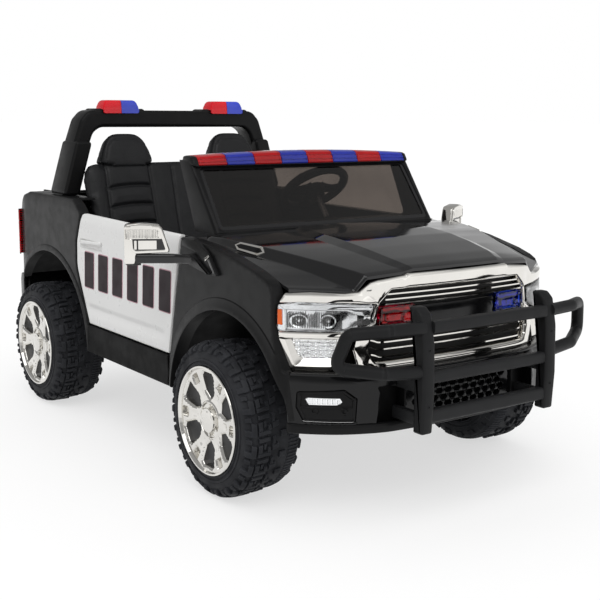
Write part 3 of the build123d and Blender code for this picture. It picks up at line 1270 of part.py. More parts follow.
ARM_THICK = 6.0
ARM_WIDTH = 14.0
TIE_EYE_R = 8.0
TIE_HALF_THICK = 3.5
TIE_PIN_PROUD = 4.0
STUB_COLLAR = 6.0
arm_z = TIE_Z + TIE_HALF_THICK + TOUCH
with BuildPart() as knuckle:
    with BuildSketch(Plane.XY.offset(EYE_LOW + KNUCKLE_END)):
        with Locations((FRONT_X, -KINGPIN_Y)):
            Circle(KNUCKLE_R)
    extrude(amount=EYE_HIGH - EYE_LOW - 2 * KNUCKLE_END)
    # stub axle out to the wheel
    for radius, end in ((PIN_R, AXLE_END), (PIN_R + STUB_COLLAR, WEB_IN - TOUCH)):
        with BuildSketch(side_plane(KINGPIN_Y)):
            with Locations((FRONT_X, WHEEL_R)):
                Circle(radius)
        extrude(amount=end - KINGPIN_Y)
    # steering arm back to the tie rod
    with BuildSketch(Plane.XY.offset(arm_z)):
        with Locations(((FRONT_X + TIE_X) / 2, -KINGPIN_Y)):
            Rectangle(STEER_ARM, ARM_WIDTH)
        with Locations((TIE_X, -KINGPIN_Y)):
            Circle(TIE_EYE_R)
    extrude(amount=ARM_THICK)
    with BuildSketch(Plane.XY.offset(TIE_Z - TIE_HALF_THICK - TIE_PIN_PROUD)):
        with Locations((TIE_X, -KINGPIN_Y)):
            Circle(TIE_PIN_R)
    extrude(amount=2 * TIE_HALF_THICK + TIE_PIN_PROUD + TOUCH + ARM_THICK / 2)
    with BuildSketch(Plane.XY.offset(EYE_LOW)):
        with Locations((FRONT_X, -KINGPIN_Y)):
            Circle(KINGPIN_R + RUNNING)
    extrude(amount=EYE_HIGH - EYE_LOW, mode=Mode.SUBTRACT)
save_pair(knuckle.part, "knuckle")

SLOT_LENGTH = 40.0
SLOT_SIDE = 1.0  # clearance beside the crank's ball
SLOT_WALL = 7.0
TIE_WIDTH = 12.0
OPEN_EYE_GAP = 0.4  # clearance in the eye that closes the linkage
with BuildPart() as tie_rod:
    with BuildSketch(Plane.XY.offset(TIE_Z - TIE_HALF_THICK)):
        with Locations((TIE_X, 0)):
            Rectangle(TIE_WIDTH, 2 * KINGPIN_Y)
            for side in SIDES.values():
                with Locations((0, side * KINGPIN_Y)):
                    Circle(TIE_EYE_R)
            with Locations((0, STEERING_Y)):
                Rectangle(SLOT_LENGTH + 2 * SLOT_WALL, 2 * (BALL_R + SLOT_SIDE + SLOT_WALL))
                SlotOverall(SLOT_LENGTH, 2 * (BALL_R + SLOT_SIDE), mode=Mode.SUBTRACT)
        for side, clearance in ((-1, RUNNING), (1, OPEN_EYE_GAP)):
            with Locations((TIE_X, side * KINGPIN_Y)):
                Circle(TIE_PIN_R + clearance, mode=Mode.SUBTRACT)
    extrude(amount=2 * TIE_HALF_THICK)
save(tie_rod.part, "tie_rod")

# -------------------------------------------------------------------------- rear axle
GEARBOX_Y = TYRE_IN - 40.0
GEARBOX_WIDTH = 34.0
GEARBOX_R = 40.0
MOTOR_R = 18.0
MOTOR_LENGTH = 52.0
with BuildPart() as rear_axle:
    with BuildSketch(side_plane(-AXLE_END)):
        with Locations((REAR_X, WHEEL_R)):
            Circle(PIN_R)
    extrude(amount=2 * AXLE_END)
save(rear_axle.part, "rear_axle")

gearbox_inner = GEARBOX_Y - GEARBOX_WIDTH / 2
with BuildPart() as gearbox:
    with BuildSketch(side_plane(gearbox_inner)):
        with Locations((REAR_X, WHEEL_R)):
            Circle(GEARBOX_R)
        with Locations((REAR_X + 40.0, WHEEL_R + 20.0)):
            RectangleRounded(90.0, 74.0, 12.0)
        with Locations((REAR_X, WHEEL_R)):
            Circle(PIN_R, mode=Mode.SUBTRACT)
    extrude(amount=GEARBOX_WIDTH)
    # motor towards the middle
    with BuildSketch(side_plane(gearbox_inner - MOTOR_LENGTH)):
        with Locations((REAR_X + 62.0, WHEEL_R + 30.0)):
            Circle(MOTOR_R)
    extrude(amount=MOTOR_LENGTH)
save_pair(gearbox.part, "gearbox")

BATTERY = (98.0, 151.0, 95.0)
with BuildPart() as battery:
    with BuildSketch(Plane.XY.offset(BAY_FLOOR_Z + WALL)):
        with Locations((FRONT_X + 105.0, 0)):
            Rectangle(BATTERY[0], BATTERY[1])
    extrude(amount=BATTERY[2])
save(battery.part, "battery")
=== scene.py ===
import json
import math

import bmesh
import bpy
import numpy as np
from mathutils import Matrix, Vector
from mathutils.geometry import delaunay_2d_cdt


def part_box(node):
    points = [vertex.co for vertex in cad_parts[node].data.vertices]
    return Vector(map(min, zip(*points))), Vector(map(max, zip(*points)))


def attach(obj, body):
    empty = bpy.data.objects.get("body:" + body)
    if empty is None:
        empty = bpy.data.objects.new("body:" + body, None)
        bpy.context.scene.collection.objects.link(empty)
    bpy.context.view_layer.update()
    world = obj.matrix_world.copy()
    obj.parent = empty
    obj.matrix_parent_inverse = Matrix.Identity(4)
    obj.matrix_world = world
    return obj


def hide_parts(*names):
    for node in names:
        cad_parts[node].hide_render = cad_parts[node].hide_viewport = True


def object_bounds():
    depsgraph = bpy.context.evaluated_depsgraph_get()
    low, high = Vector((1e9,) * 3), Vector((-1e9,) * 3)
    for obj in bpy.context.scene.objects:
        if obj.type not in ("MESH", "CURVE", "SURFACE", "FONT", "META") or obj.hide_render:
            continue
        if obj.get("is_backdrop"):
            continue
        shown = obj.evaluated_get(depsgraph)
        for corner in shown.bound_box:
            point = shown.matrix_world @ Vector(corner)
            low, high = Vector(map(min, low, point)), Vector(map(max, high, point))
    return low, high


# A child's two-seat ride-on police pickup truck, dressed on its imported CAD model. Metres,
# except where mm() lists points in millimetres. +X is forward, +Y the truck's left, +Z up.
# Paired pieces are made on the right, at -Y, and mirrored to the left.
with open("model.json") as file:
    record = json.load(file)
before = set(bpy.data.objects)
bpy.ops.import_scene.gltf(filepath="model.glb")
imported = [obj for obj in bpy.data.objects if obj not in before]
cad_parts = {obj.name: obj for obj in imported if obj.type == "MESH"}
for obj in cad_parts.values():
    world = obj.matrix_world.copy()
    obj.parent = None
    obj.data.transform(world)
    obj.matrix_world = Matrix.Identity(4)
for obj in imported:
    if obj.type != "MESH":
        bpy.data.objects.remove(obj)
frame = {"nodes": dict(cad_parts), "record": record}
cad_low, cad_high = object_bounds()
nodes = frame["nodes"]


def edges_of(node):
    """Lowest and highest corner of a CAD node, as two tuples."""
    low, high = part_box(node)
    return tuple(low), tuple(high)


# ------------------------------------------------------------------- camera and stage
def camera_at(place, yaw, pitch, roll, lens):
    data = bpy.data.cameras.new("camera")
    data.lens, data.sensor_width = lens, 36.0
    data.clip_start, data.clip_end = 0.05, 200.0
    camera = bpy.data.objects.new("camera", data)
    bpy.context.scene.collection.objects.link(camera)
    level = math.cos(pitch)
    ahead = Vector((-math.cos(yaw) * level, math.sin(yaw) * level, -math.sin(pitch)))
    right = ahead.cross(Vector((0, 0, 1))).normalized()
    up = right.cross(ahead)
    right, up = (
        right * math.cos(roll) + up * math.sin(roll),
        up * math.cos(roll) - right * math.sin(roll),
    )
    turn = Matrix((right, up, -ahead)).transposed().to_4x4()
    camera.matrix_world = Matrix.Translation(place) @ turn
    bpy.context.scene.camera = camera


camera_at(Vector((1.9432, -1.3093, 0.69)), yaw=0.6204, pitch=0.1728, roll=0.0069, lens=64.52)
bpy.context.scene.view_settings.view_transform = "Standard"

AMBIENT, CEILING = 0.85, 0.35  # strength of the light all round, and of the ceiling's reflection
FLOOR_TONE, FLOOR_GLOW = 0.4, 0.62
FLOOR_HALF = 60.0
PURE_WHITE = (1.0, 1.0, 1.0, 1.0)


def add_node(tree, kind, options=(), **inputs):
    """A shader node. Each input is a number, a colour or the socket that feeds it; _0 is the
    first input, _1 the second."""
    node = tree.nodes.new("ShaderNode" + kind)
    for option, value in dict(options).items():
        setattr(node, option, value)
    for name, value in inputs.items():
        socket = node.inputs[int(name[1:]) if name.startswith("_") else name.replace("_", " ")]
        if isinstance(value, bpy.types.NodeSocket):
            tree.links.new(value, socket)
        else:
            socket.default_value = value
    return node


def largest(tree, first, second):
    return add_node(tree, "Math", {"operation": "MAXIMUM"}, _0=first, _1=second).outputs[0]


def ray_is_seen(tree):
    """1 for camera, glossy and transmission rays, else 0."""
    path = add_node(tree, "LightPath").outputs
    total = largest(tree, path["Is Camera Ray"], path["Is Glossy Ray"])
    return largest(tree, total, path["Is Transmission Ray"])


def empty_tree(owner):
    owner.use_nodes = True
    owner.node_tree.nodes.clear()
    return owner.node_tree


def make_world():
    world = bpy.data.worlds.new("studio")
    bpy.context.scene.world = world
    tree = empty_tree(world)
    # reflections see a dimmer ceiling above the bright walls
    way = add_node(tree, "TexCoord").outputs["Generated"]
    up = add_node(tree, "SeparateXYZ", _0=way).outputs[2]
    ceiling = add_node(
        tree, "MapRange", Value=up, From_Min=-0.02, From_Max=0.26, To_Min=1.0, To_Max=CEILING
    )
    camera_ray = add_node(tree, "LightPath").outputs["Is Camera Ray"]
    strength = largest(tree, ceiling.outputs[0], camera_ray)
    light = add_node(tree, "Background", Color=PURE_WHITE, Strength=AMBIENT)
    seen = add_node(tree, "Background", Color=PURE_WHITE, Strength=strength)
    mix = add_node(tree, "MixShader", _0=ray_is_seen(tree), _1=light.outputs[0], _2=seen.outputs[0])
    add_node(tree, "OutputWorld", Surface=mix.outputs[0])


def make_floor():
    """A wide pale floor whose lit part shows white."""
    mesh = bpy.data.meshes.new("floor")
    half = FLOOR_HALF
    corners = [(-half, -half, 0), (half, -half, 0), (half, half, 0), (-half, half, 0)]
    mesh.from_pydata(corners, [], [(0, 1, 2, 3)])
    floor = bpy.data.objects.new("floor", mesh)
    bpy.context.scene.collection.objects.link(floor)
    material = bpy.data.materials.new("floor")
    tree = empty_tree(material)
    paper = add_node(tree, "BsdfDiffuse", Color=(FLOOR_TONE, FLOOR_TONE, FLOOR_TONE, 1.0))
    glow = add_node(tree, "Emission", Strength=FLOOR_GLOW)
    none = add_node(tree, "Emission", Strength=0.0)
    pick = add_node(tree, "MixShader", _0=ray_is_seen(tree), _1=none.outputs[0], _2=glow.outputs[0])
    total = add_node(tree, "AddShader", _0=paper.outputs[0], _1=pick.outputs[0])
    add_node(tree, "OutputMaterial", Surface=total.outputs[0])
    floor.data.materials.append(material)
    floor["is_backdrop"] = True


def sun(name, towards, strength, angle):
    """A soft sun that shines along a direction."""
    data = bpy.data.lights.new(name, "SUN")
    data.energy, data.angle = strength, math.radians(angle)
    lamp = bpy.data.objects.new(name, data)
    bpy.context.scene.collection.objects.link(lamp)
    lamp.rotation_mode = "QUATERNION"
    lamp.rotation_quaternion = Vector(towards).to_track_quat("-Z", "Y")


make_world()
make_floor()
sun("key", (-0.5, 0.45, -0.85), 0.6, 40.0)
sun("fill", (-0.9, -0.2, -0.5), 0.3, 60.0)


# --------------------------------------------------------------------------- materials
class Look:
    """A material built from a principled shader and procedural textures."""

    def __init__(self, name, colour, rough, metal=0.0, **sockets):
        self.material = bpy.data.materials.new(name)
        self.tree = empty_tree(self.material)
        self.shader = add_node(
            self.tree, "BsdfPrincipled",
            Base_Color=(*colour, 1.0), Roughness=rough, Metallic=metal, **sockets,
        )
        add_node(self.tree, "OutputMaterial", Surface=self.shader.outputs[0])
        self.place = add_node(self.tree, "TexCoord").outputs["Object"]
        self.colour, self.height = colour, None

    def feed(self, socket, source):
        self.tree.links.new(source, self.shader.inputs[socket])

    def noise(self, scale, detail=3.0, stretch=None):
        place = self.place
        if stretch:
            place = add_node(self.tree, "Mapping", Scale=stretch, Vector=place).outputs[0]
        node = add_node(self.tree, "TexNoise", Scale=scale, Detail=detail, Vector=place)
        return node.outputs["Fac"]

    def cells(self, scale):
        return add_node(self.tree, "TexVoronoi", Scale=scale, Vector=self.place).outputs["Distance"]

    def between(self, source, low, high, start=0.3, end=0.7):
        """The source from start to end, turned into low to high."""
        node = add_node(
            self.tree, "MapRange",
            Value=source, From_Min=start, From_Max=end, To_Min=low, To_Max=high,
        )
        return node.outputs["Result"]

    def patches(self, scale, detail, start=0.35, end=0.65):
        """Soft-edged patches, from 0 to 1."""
        return self.between(self.noise(scale, detail), 0.0, 1.0, start, end)

    def edges(self, low=0.52, high=0.62):
        """0 on flat ground and up to 1 on sharp outer edges."""
        node = add_node(self.tree, "NewGeometry")
        return self.between(node.outputs["Pointiness"], 0.0, 1.0, low, high)

    def mix(self, factor, *colours):
        first, second = ((*c, 1.0) if isinstance(c, tuple) else c for c in colours)
        node = add_node(self.tree, "Mix", {"data_type": "RGBA"}, _0=factor, _6=first, _7=second)
        return node.outputs[2]

    def tint(self, scale, other):
        """Slow variation between the colour and another one."""
        self.feed("Base Color", self.mix(self.patches(scale, 4.0), self.colour, other))

    def gloss(self, scale, low, high, stretch=None):
        self.feed("Roughness", self.between(self.noise(scale, 4.0, stretch), low, high))

    def bump(self, source, strength, distance):
        node = add_node(self.tree, "Bump", Strength=strength, Distance=distance, Height=source)
        if self.height is not None:
            self.tree.links.new(self.height, node.inputs["Normal"])
        self.height = node.outputs[0]
        self.feed("Normal", self.height)


def shade(colour, factor, lift=0.0):
    return tuple(min(1.0, c * factor + lift) for c in colour)


def moulded(
    name, colour, rough, grain=0.12, wear=1.5, spread=0.07, coat=0.0, specular=0.5, patchy=0.8
):
    """Moulded plastic: a fine grain, uneven gloss and slightly rubbed edges."""
    look = Look(
        name, colour, rough, Coat_Weight=coat, Specular_IOR_Level=specular, Coat_Roughness=0.08
    )
    body = look.mix(look.patches(7.0, 5.0), colour, shade(colour, patchy))
    if wear:
        body = look.mix(look.edges(), body, shade(colour, wear, 0.003))
    look.feed("Base Color", body)
    look.gloss(38.0, rough - spread, rough + spread)
    if grain:
        look.bump(look.noise(1400.0, 2.0), grain, 0.0003)
        look.bump(look.noise(16.0, 2.0), 0.06, 0.004)
    return look.material


def plated(name, colour, rough):
    """Vacuum-plated chrome on plastic: near mirror, with faint waves and tarnish."""
    look = Look(name, colour, rough, metal=1.0)
    look.tint(11.0, shade(colour, 0.9))
    look.gloss(60.0, rough * 0.6, rough * 1.7)
    look.bump(look.noise(45.0, 2.0), 0.1, 0.0012)
    return look.material


def glassy(name, colour, rough, depth=0.004, weight=1.0):
    """Tinted clear plastic."""
    look = Look(name, colour, rough, Transmission_Weight=weight, IOR=1.49)
    look.tint(9.0, shade(colour, 0.8))
    look.gloss(70.0, rough * 0.5, rough * 1.6 + 0.01)
    if depth:
        look.bump(look.noise(120.0, 2.0), 0.05, depth * 0.1)
    return look.material


def leather(name, colour):
    look = Look(name, colour, 0.42, Specular_IOR_Level=0.28)
    pores = look.between(look.cells(420.0), 0.0, 1.0, 0.05, 0.55)
    body = look.mix(look.patches(14.0, 5.0), colour, shade(colour, 0.75))
    look.feed("Base Color", look.mix(pores, shade(colour, 0.6), body))
    look.gloss(55.0, 0.34, 0.52)
    look.bump(look.cells(420.0), 0.35, 0.0006)
    look.bump(look.noise(30.0, 4.0), 0.25, 0.003)
    return look.material


def rubber(name, colour):
    look = Look(name, colour, 0.62, Specular_IOR_Level=0.16)
    dusty = look.mix(look.patches(24.0, 6.0, 0.45, 0.7), colour, shade(colour, 1.5, 0.004))
    look.feed("Base Color", look.mix(look.edges(0.53, 0.66), dusty, shade(colour, 2.2)))
    look.gloss(30.0, 0.5, 0.75)
    look.bump(look.noise(600.0, 3.0), 0.25, 0.0006)
    return look.material


def machined(name, colour):
    look = Look(name, colour, 0.32, metal=1.0)
    look.tint(30.0, shade(colour, 0.7))
    look.gloss(200.0, 0.22, 0.45, stretch=(1.0, 0.1, 1.0))
    look.bump(look.noise(300.0, 3.0), 0.15, 0.0004)
    return look.material


INK = (0.0045, 0.0045, 0.005)
BODY = moulded("body_satin", (0.0078, 0.0078, 0.0082), 0.36, specular=0.15, wear=1.2)
GLOSS = moulded("hood_gloss", INK, 0.1, grain=0.0, spread=0.03, coat=0.35, specular=0.4)
BUMPER = moulded("bumper_gloss", INK, 0.16, grain=0.0, spread=0.04, specular=0.3)
SILL = moulded("sill_satin", (0.003, 0.003, 0.0032), 0.46, specular=0.06)
WHITE = moulded(
    "door_white", (0.91, 0.91, 0.9), 0.3, grain=0.0, wear=0.0, spread=0.04, patchy=0.985
)
BLACK = moulded("black_plastic", (0.0065, 0.0065, 0.007), 0.4, specular=0.22)
BULL = moulded("bull_bar_satin", (0.0135, 0.0138, 0.0146), 0.45, specular=0.15, wear=1.3)
# the darkest black: grained plastic on the intake box and dial faces, and painted shade on the
# chassis and bed tubs
DEEP = moulded("black_grained_and_painted_shade", (0.003, 0.003, 0.0033), 0.55, grain=0.25, specular=0.12)
CHROME = plated("chrome", (0.82, 0.8, 0.76), 0.07)
NICKEL = plated("wheel_chrome", (0.76, 0.745, 0.71), 0.07)
SILVER = plated("silver_reflector", (0.95, 0.96, 0.97), 0.09)
RED = glassy("lens_red", (0.8, 0.002, 0.008), 0.1, weight=0.55)
BEACON_RED = glassy("beacon_red", (0.92, 0.003, 0.016), 0.1, weight=0.12)
BEACON_BLUE = glassy("beacon_blue", (0.06, 0.095, 0.74), 0.1, weight=0.12)
DEEP_RED = glassy("lamp_red", (0.62, 0.004, 0.03), 0.08)
BLUE = glassy("lens_blue", (0.04, 0.065, 0.66), 0.1, weight=0.5)
DEEP_BLUE = glassy("lamp_blue", (0.02, 0.07, 0.62), 0.08)
AMBER = moulded("reflector_amber", (0.96, 0.15, 0.012), 0.2, grain=0.0, wear=0.0)
CLEAR = glassy("lens_clear", (0.97, 0.975, 0.98), 0.03)
SMOKED = glassy("smoked_glass", (0.1, 0.082, 0.07), 0.02, depth=0.0)
HIDE = leather("seat_leatherette", (0.015, 0.0154, 0.0168))
TYRE = rubber("tyre_rubber", (0.0185, 0.0193, 0.0222))
STEEL = machined("steel", (0.55, 0.55, 0.56))
GREY = moulded("drive_plastic", (0.04, 0.04, 0.042), 0.5)
HUB = moulded("hub_cover", (0.018, 0.018, 0.019), 0.5, wear=0.0)

SLOT_LOOKS = {
    "body_satin": BODY, "hood_gloss": GLOSS, "door_white": WHITE, "chrome": CHROME,
    "black_plastic": BLACK, "lens_red": RED, "lens_blue": BLUE, "lens_clear": CLEAR,
    "smoked_glass": SMOKED, "seat_leatherette": HIDE, "wheel_black": TYRE, "steel": STEEL,
    "drive_plastic": GREY,
}


# ----------------------------------------------------------------------- mesh helpers
UP = Vector((0, 0, 1))


def mm(*values, size=2):
    """Points, here pairs of numbers, from a run of millimetres."""
    metres = [round(v / 1000, 7) for v in values]
    return [tuple(metres[k : k + size]) for k in range(0, len(metres), size)]


def flat_points(points):
    return [Vector(p).to_2d() for p in points]


def smooth_step(value, start, end):
    t = np.clip((np.asarray(value, float) - start) / (end - start), 0.0, 1.0)
    return t * t * (3.0 - 2.0 * t)


def within(away, start, end=0.0):
    """1 where away is below start, and 0 above end."""
    return 1 - smooth_step(away, start, end)


def ridge(away, width):
    """A smooth ridge of height 1 where away is 0."""
    return np.exp(-((away / width) ** 2))


def flat_at(height):
    """A relief of one height."""
    return lambda u, v: np.full_like(u, height)


def waves(height, rise, pitch, middle=0.0, down=False):
    """A relief of ribs about a height, with a pitch, that follow each other along u, or v."""
    return lambda u, v: height + rise * np.cos(((v if down else u) - middle) / pitch * 2 * math.pi)


def round_corners(points, radius, steps=4, closed=True):
    """Polyline with its corners rounded. The radius is one number, or one for each point."""
    points = [Vector(p) for p in points]
    count = len(points)
    radii = radius if isinstance(radius, (list, tuple)) else [radius] * count
    out = []
    for i, here in enumerate(points):
        if radii[i] <= 0 or (not closed and i in (0, count - 1)):
            out.append(here)
            continue
        before, after = points[i - 1] - here, points[(i + 1) % count] - here
        angle = before.angle(after)
        if angle > math.pi - 0.02:
            out.append(here)
            continue
        reach = min(radii[i] / math.tan(angle / 2), 0.48 * before.length, 0.48 * after.length)
        start, end = here + before.normalized() * reach, here + after.normalized() * reach
        for k in range(steps + 1):
            t = k / steps
            out.append(start * (1 - t) ** 2 + here * 2 * t * (1 - t) + end * t * t)
    return out


def rect(x0, y0, x1, y1, radius=0.0, steps=4):
    """Rectangle between two corners, with its own corners rounded."""
    return round_corners([(x0, y0), (x1, y0), (x1, y1), (x0, y1)], radius, steps)


def smooth_path(points, steps=6):
    """Open Catmull-Rom curve through points."""
    points = [Vector(p) for p in points]
    points = [points[0] * 2 - points[1], *points, points[-1] * 2 - points[-2]]
    out = []
    for a, b, c, d in zip(points, points[1:], points[2:], points[3:]):
        for k in range(steps):
            t = k / steps
            start = 2 * b + (c - a) * t + (2 * a - 5 * b + 4 * c - d) * t * t
            out.append(0.5 * (start + (3 * b - a - 3 * c + d) * t**3))
    return [*out, points[-2]]


def resample(points, step, closed=True):
    """Polyline with points added so that no run is longer than step."""
    out = []
    count = len(points)
    for i in range(count if closed else count - 1):
        a, b = Vector(points[i]), Vector(points[(i + 1) % count])
        parts = max(1, math.ceil((b - a).length / step))
        out.extend(a.lerp(b, k / parts) for k in range(parts))
    if not closed:
        out.append(Vector(points[-1]))
    return out


def angles(count):
    return [2 * math.pi * k / count for k in range(count)]


def circle(radius, count):
    return [Vector((radius * math.cos(t), radius * math.sin(t))) for t in angles(count)]


def bar_at(turn, start, end, half):
    """Corners of a narrow bar that points away from the middle at an angle."""
    ray = Vector((math.cos(turn), math.sin(turn)))
    side = Vector((-ray.y, ray.x)) * half
    return [ray * start - side, ray * end - side, ray * end + side, ray * start + side]


def box_section(width, height, radius, steps=3):
    """Rounded rectangle about the origin."""
    return rect(-width / 2, -height / 2, width / 2, height / 2, radius, steps)


def shrink(loop, inset):
    """A closed flat loop moved inwards, or outwards where inset is below 0."""
    loop = flat_points(loop)
    following = [*loop[1:], loop[0]]
    area = sum(a.x * b.y - b.x * a.y for a, b in zip(loop, following))
    turn = 1.0 if area > 0 else -1.0
    out = []
    for i, here in enumerate(loop):
        before, after = here - loop[i - 1], following[i] - here
        if before.length < 1e-9 or after.length < 1e-9:
            out.append(here.copy())
            continue
        before, after = before.normalized(), after.normalized()
        first = Vector((-before.y, before.x)) * turn
        both_ways = first + Vector((-after.y, after.x)) * turn
        size = both_ways.length_squared
        out.append(here + (both_ways * (2 * inset / size) if size > 0.3 else first * inset))
    return out


def inside(points, loop):
    """Which of the points (n, 2) lie inside a closed loop."""
    x, y = points[:, 0], points[:, 1]
    ring = np.array([tuple(p)[:2] for p in loop])
    result = np.zeros(len(points), bool)
    for (x0, y0), (x1, y1) in zip(ring, np.roll(ring, -1, 0)):
        if y0 != y1:
            result ^= ((y0 > y) != (y1 > y)) & (x < (x1 - x0) * (y - y0) / (y1 - y0) + x0)
    return result


def distance_to(points, loops, closed=True):
    """Distance from each point (n, 2) to the nearest run of the loops."""
    best = np.full(len(points), 1e9)
    for loop in loops:
        ring = np.array([tuple(p)[:2] for p in loop])
        for a, b in zip(ring if closed else ring[:-1], np.roll(ring, -1, 0)):
            run = b - a
            t = np.clip(((points - a) @ run) / max(run @ run, 1e-18), 0.0, 1.0)
            best = np.minimum(best, np.linalg.norm(points - a - t[:, None] * run, axis=1))
    return best


def directions(path):
    """Unit direction of an open path at each of its points."""
    return [(b - a).normalized() for a, b in zip([path[0], *path], [*path[1:], path[-1]])]


def eased(low, high, bevel, steps):
    """Levels and insets of a block's rim at high, rounded by the bevel."""
    way = math.copysign(bevel, high - low)
    turns = [math.pi / 2 * k / steps for k in range(steps + 1)]
    return [(high - way * (1 - math.sin(t)), bevel * (1 - math.cos(t))) for t in turns]


def upright(fixed, axis=1):
    """A place for outlines drawn square to an axis, with depth along it from a fixed value."""
    def place(u, v, depth):
        spot = [u, v]
        spot.insert(axis, fixed + depth)
        return Vector(spot)

    return place


def raised(place, rise):
    """A place moved out of its surface by a rise."""
    return lambda u, v, depth: place(u, v, depth - rise)


class Shape:
    """Collects vertices and faces of one piece."""

    def __init__(self):
        self.points, self.faces = [], []

    def add(self, points, faces):
        base = len(self.points)
        self.points.extend(Vector(p) for p in points)
        self.faces.extend(tuple(base + i for i in face) for face in faces)
        return self

    def rings(self, rings, closed=False):
        """Skin over rings that have the same number of points, with flat ends if open."""
        size, count = len(rings[0]), len(rings)
        faces = []
        for r in range(count if closed else count - 1):
            a, b = r * size, (r + 1) % count * size
            for k in range(size):
                faces.append((a + k, a + (k + 1) % size, b + (k + 1) % size, b + k))
        if not closed:
            faces.append(tuple(range(size))[::-1])
            faces.append(tuple((count - 1) * size + k for k in range(size)))
        return self.add([p for ring in rings for p in ring], faces)

    def sweep(self, section, path):
        """Section (a, b) carried along a path, a upwards and b square to it."""
        rings = []
        for here, ahead in zip(path, directions(path)):
            across = (UP - ahead * UP.dot(ahead)).normalized()
            up = ahead.cross(across)
            rings.append([here + (across * a + up * b) for a, b in section])
        return self.rings(rings)

    def tube(self, path, radius, count):
        """Round tube with a frame that doesn't twist."""
        side = (path[1] - path[0]).normalized().orthogonal().normalized()
        rings = []
        for here, ahead in zip(path, directions(path)):
            side = (side - ahead * side.dot(ahead)).normalized()
            up = ahead.cross(side)
            rings.append([here + (side * p.x + up * p.y) * radius for p in circle(1.0, count)])
        return self.rings(rings)

    def lathe(self, profile, place, count):
        """Closed profile of (radius, along) turned about an axis."""
        turns = [(math.cos(t), math.sin(t)) for t in angles(count)]
        return self.rings([[place(r * a, r * b, h) for r, h in profile] for a, b in turns], True)

    def stack(self, place, outlines, closed=False):
        """Skin over outlines, each given with its depth."""
        return self.rings([[place(p[0], p[1], d) for p in loop] for loop, d in outlines], closed)

    def discs(self, place, at, count, profile, closed=False):
        """Round form about a point of a place, from (radius, depth) pairs."""
        u, v = at
        loops = [([(u + p.x, v + p.y) for p in circle(r, count)], d) for r, d in profile]
        return self.stack(place, loops, closed)

    def solid(self, outline, place, levels):
        """Block over an outline, from (depth, inset) levels."""
        outline = flat_points(outline)
        return self.stack(place, [(shrink(outline, i) if i else outline, d) for d, i in levels])

    def prism(self, outline, place, low, high, bevel):
        """Block over an outline, place(u, v, depth), with its rim at high rounded."""
        return self.solid(outline, place, [(low, 0.0), *eased(low, high, bevel, 2)])

    def slab(self, outline, place, low, high, bevel, steps=3):
        """Block over an outline, place(u, v, depth), with both its rims rounded."""
        levels = [*eased(high, low, bevel, steps)[::-1], *eased(low, high, bevel, steps)]
        levels = [(low, bevel + 0.0006), *levels, (high, bevel + 0.0006)]
        return self.solid(outline, place, levels)

    def block(self, low, high, bevel):
        """Box between two corners with its edges eased."""
        outline = rect(*low[:2], *high[:2], bevel, 2)
        low, high = low[2], high[2]
        levels = [*eased(high, low, bevel, 2)[::-1], *eased(low, high, bevel, 2)]
        return self.solid(outline, upright(0.0, 2), levels)

    def panel(
        self, outline, place, thick, holes=(), lines=(), step=0.008, edge=0.003, relief=None
    ):
        """Sheet over a flat outline of (u, v), with rounded edges and a relief towards its face.
        Its mesh keeps crisp edges along the lines."""
        loops = [resample(flat_points(loop), step) for loop in (outline, *holes)]

        def on_sheet(points):
            found = inside(points, loops[0])
            for hole in loops[1:]:
                found &= ~inside(points, hole)
            return found

        flat, runs = [], []
        for loop in loops:
            size = len(loop)
            runs.extend((len(flat) + k, len(flat) + (k + 1) % size) for k in range(size))
            flat.extend(loop)
        ring = np.array([tuple(p) for p in loops[0]])
        low, high = ring.min(0), ring.max(0)
        columns, rows = np.arange(low[0], high[0], step), np.arange(low[1], high[1], step * 0.9)
        grid = np.stack(np.meshgrid(columns, rows), -1)
        grid[1::2, :, 0] += step / 2
        grid = grid.reshape(-1, 2)
        grid = grid[on_sheet(grid)]
        grid = grid[distance_to(grid, loops) > edge + 0.35 * step]
        for line in lines:
            points = resample(line, step, closed=False)
            spots = np.array([tuple(p)[:2] for p in points])
            clear = on_sheet(spots) & (distance_to(spots, loops) > 0.3 * step)
            grid = grid[distance_to(grid, [spots], closed=False) > 0.4 * step]
            for k in range(len(points) - 1):
                if clear[k] and clear[k + 1]:
                    runs.append((len(flat), len(flat) + 1))
                    flat.extend(Vector(tuple(p)[:2]) for p in points[k : k + 2])
        inner = []
        for fraction in (0.35, 1.0) if edge else ():
            for index, loop in enumerate(loops):
                inner.extend(shrink(loop, edge * fraction * (-1 if index else 1)))
        inner = np.array([tuple(p) for p in inner]).reshape(-1, 2)
        inner = inner[on_sheet(inner)]
        flat = [Vector(p) for p in (*flat, *inner.tolist(), *grid.tolist())]
        found, _, triangles, *_ = delaunay_2d_cdt(flat, runs, [], 0, 1e-7)
        uv = np.array([tuple(p) for p in found])
        triangles = np.array([t for t in triangles if len(t) == 3])
        triangles = triangles[on_sheet(uv[triangles].mean(1))]
        depth = np.zeros(len(uv))
        if edge:
            near = np.clip(distance_to(uv, loops), 0.0, edge)
            depth = edge - np.sqrt(np.maximum(edge**2 - (edge - near) ** 2, 0.0))
        if relief is not None:
            depth = depth - relief(uv[:, 0], uv[:, 1])
        front = [place(u, v, d) for (u, v), d in zip(uv, depth)]
        behind = [place(u, v, max(thick, d + 0.001)) for (u, v), d in zip(uv, depth)]
        count = len(front)
        faces = [tuple(t) for t in triangles]
        seen = {run: True for a, b, c in triangles for run in ((a, b), (b, c), (c, a))}
        faces.extend(tuple(count + i for i in t[::-1]) for t in triangles)
        rim = [run for run in seen if run[::-1] not in seen]
        faces.extend((b, a, count + a, count + b) for a, b in rim)
        return self.add(front + behind, faces)

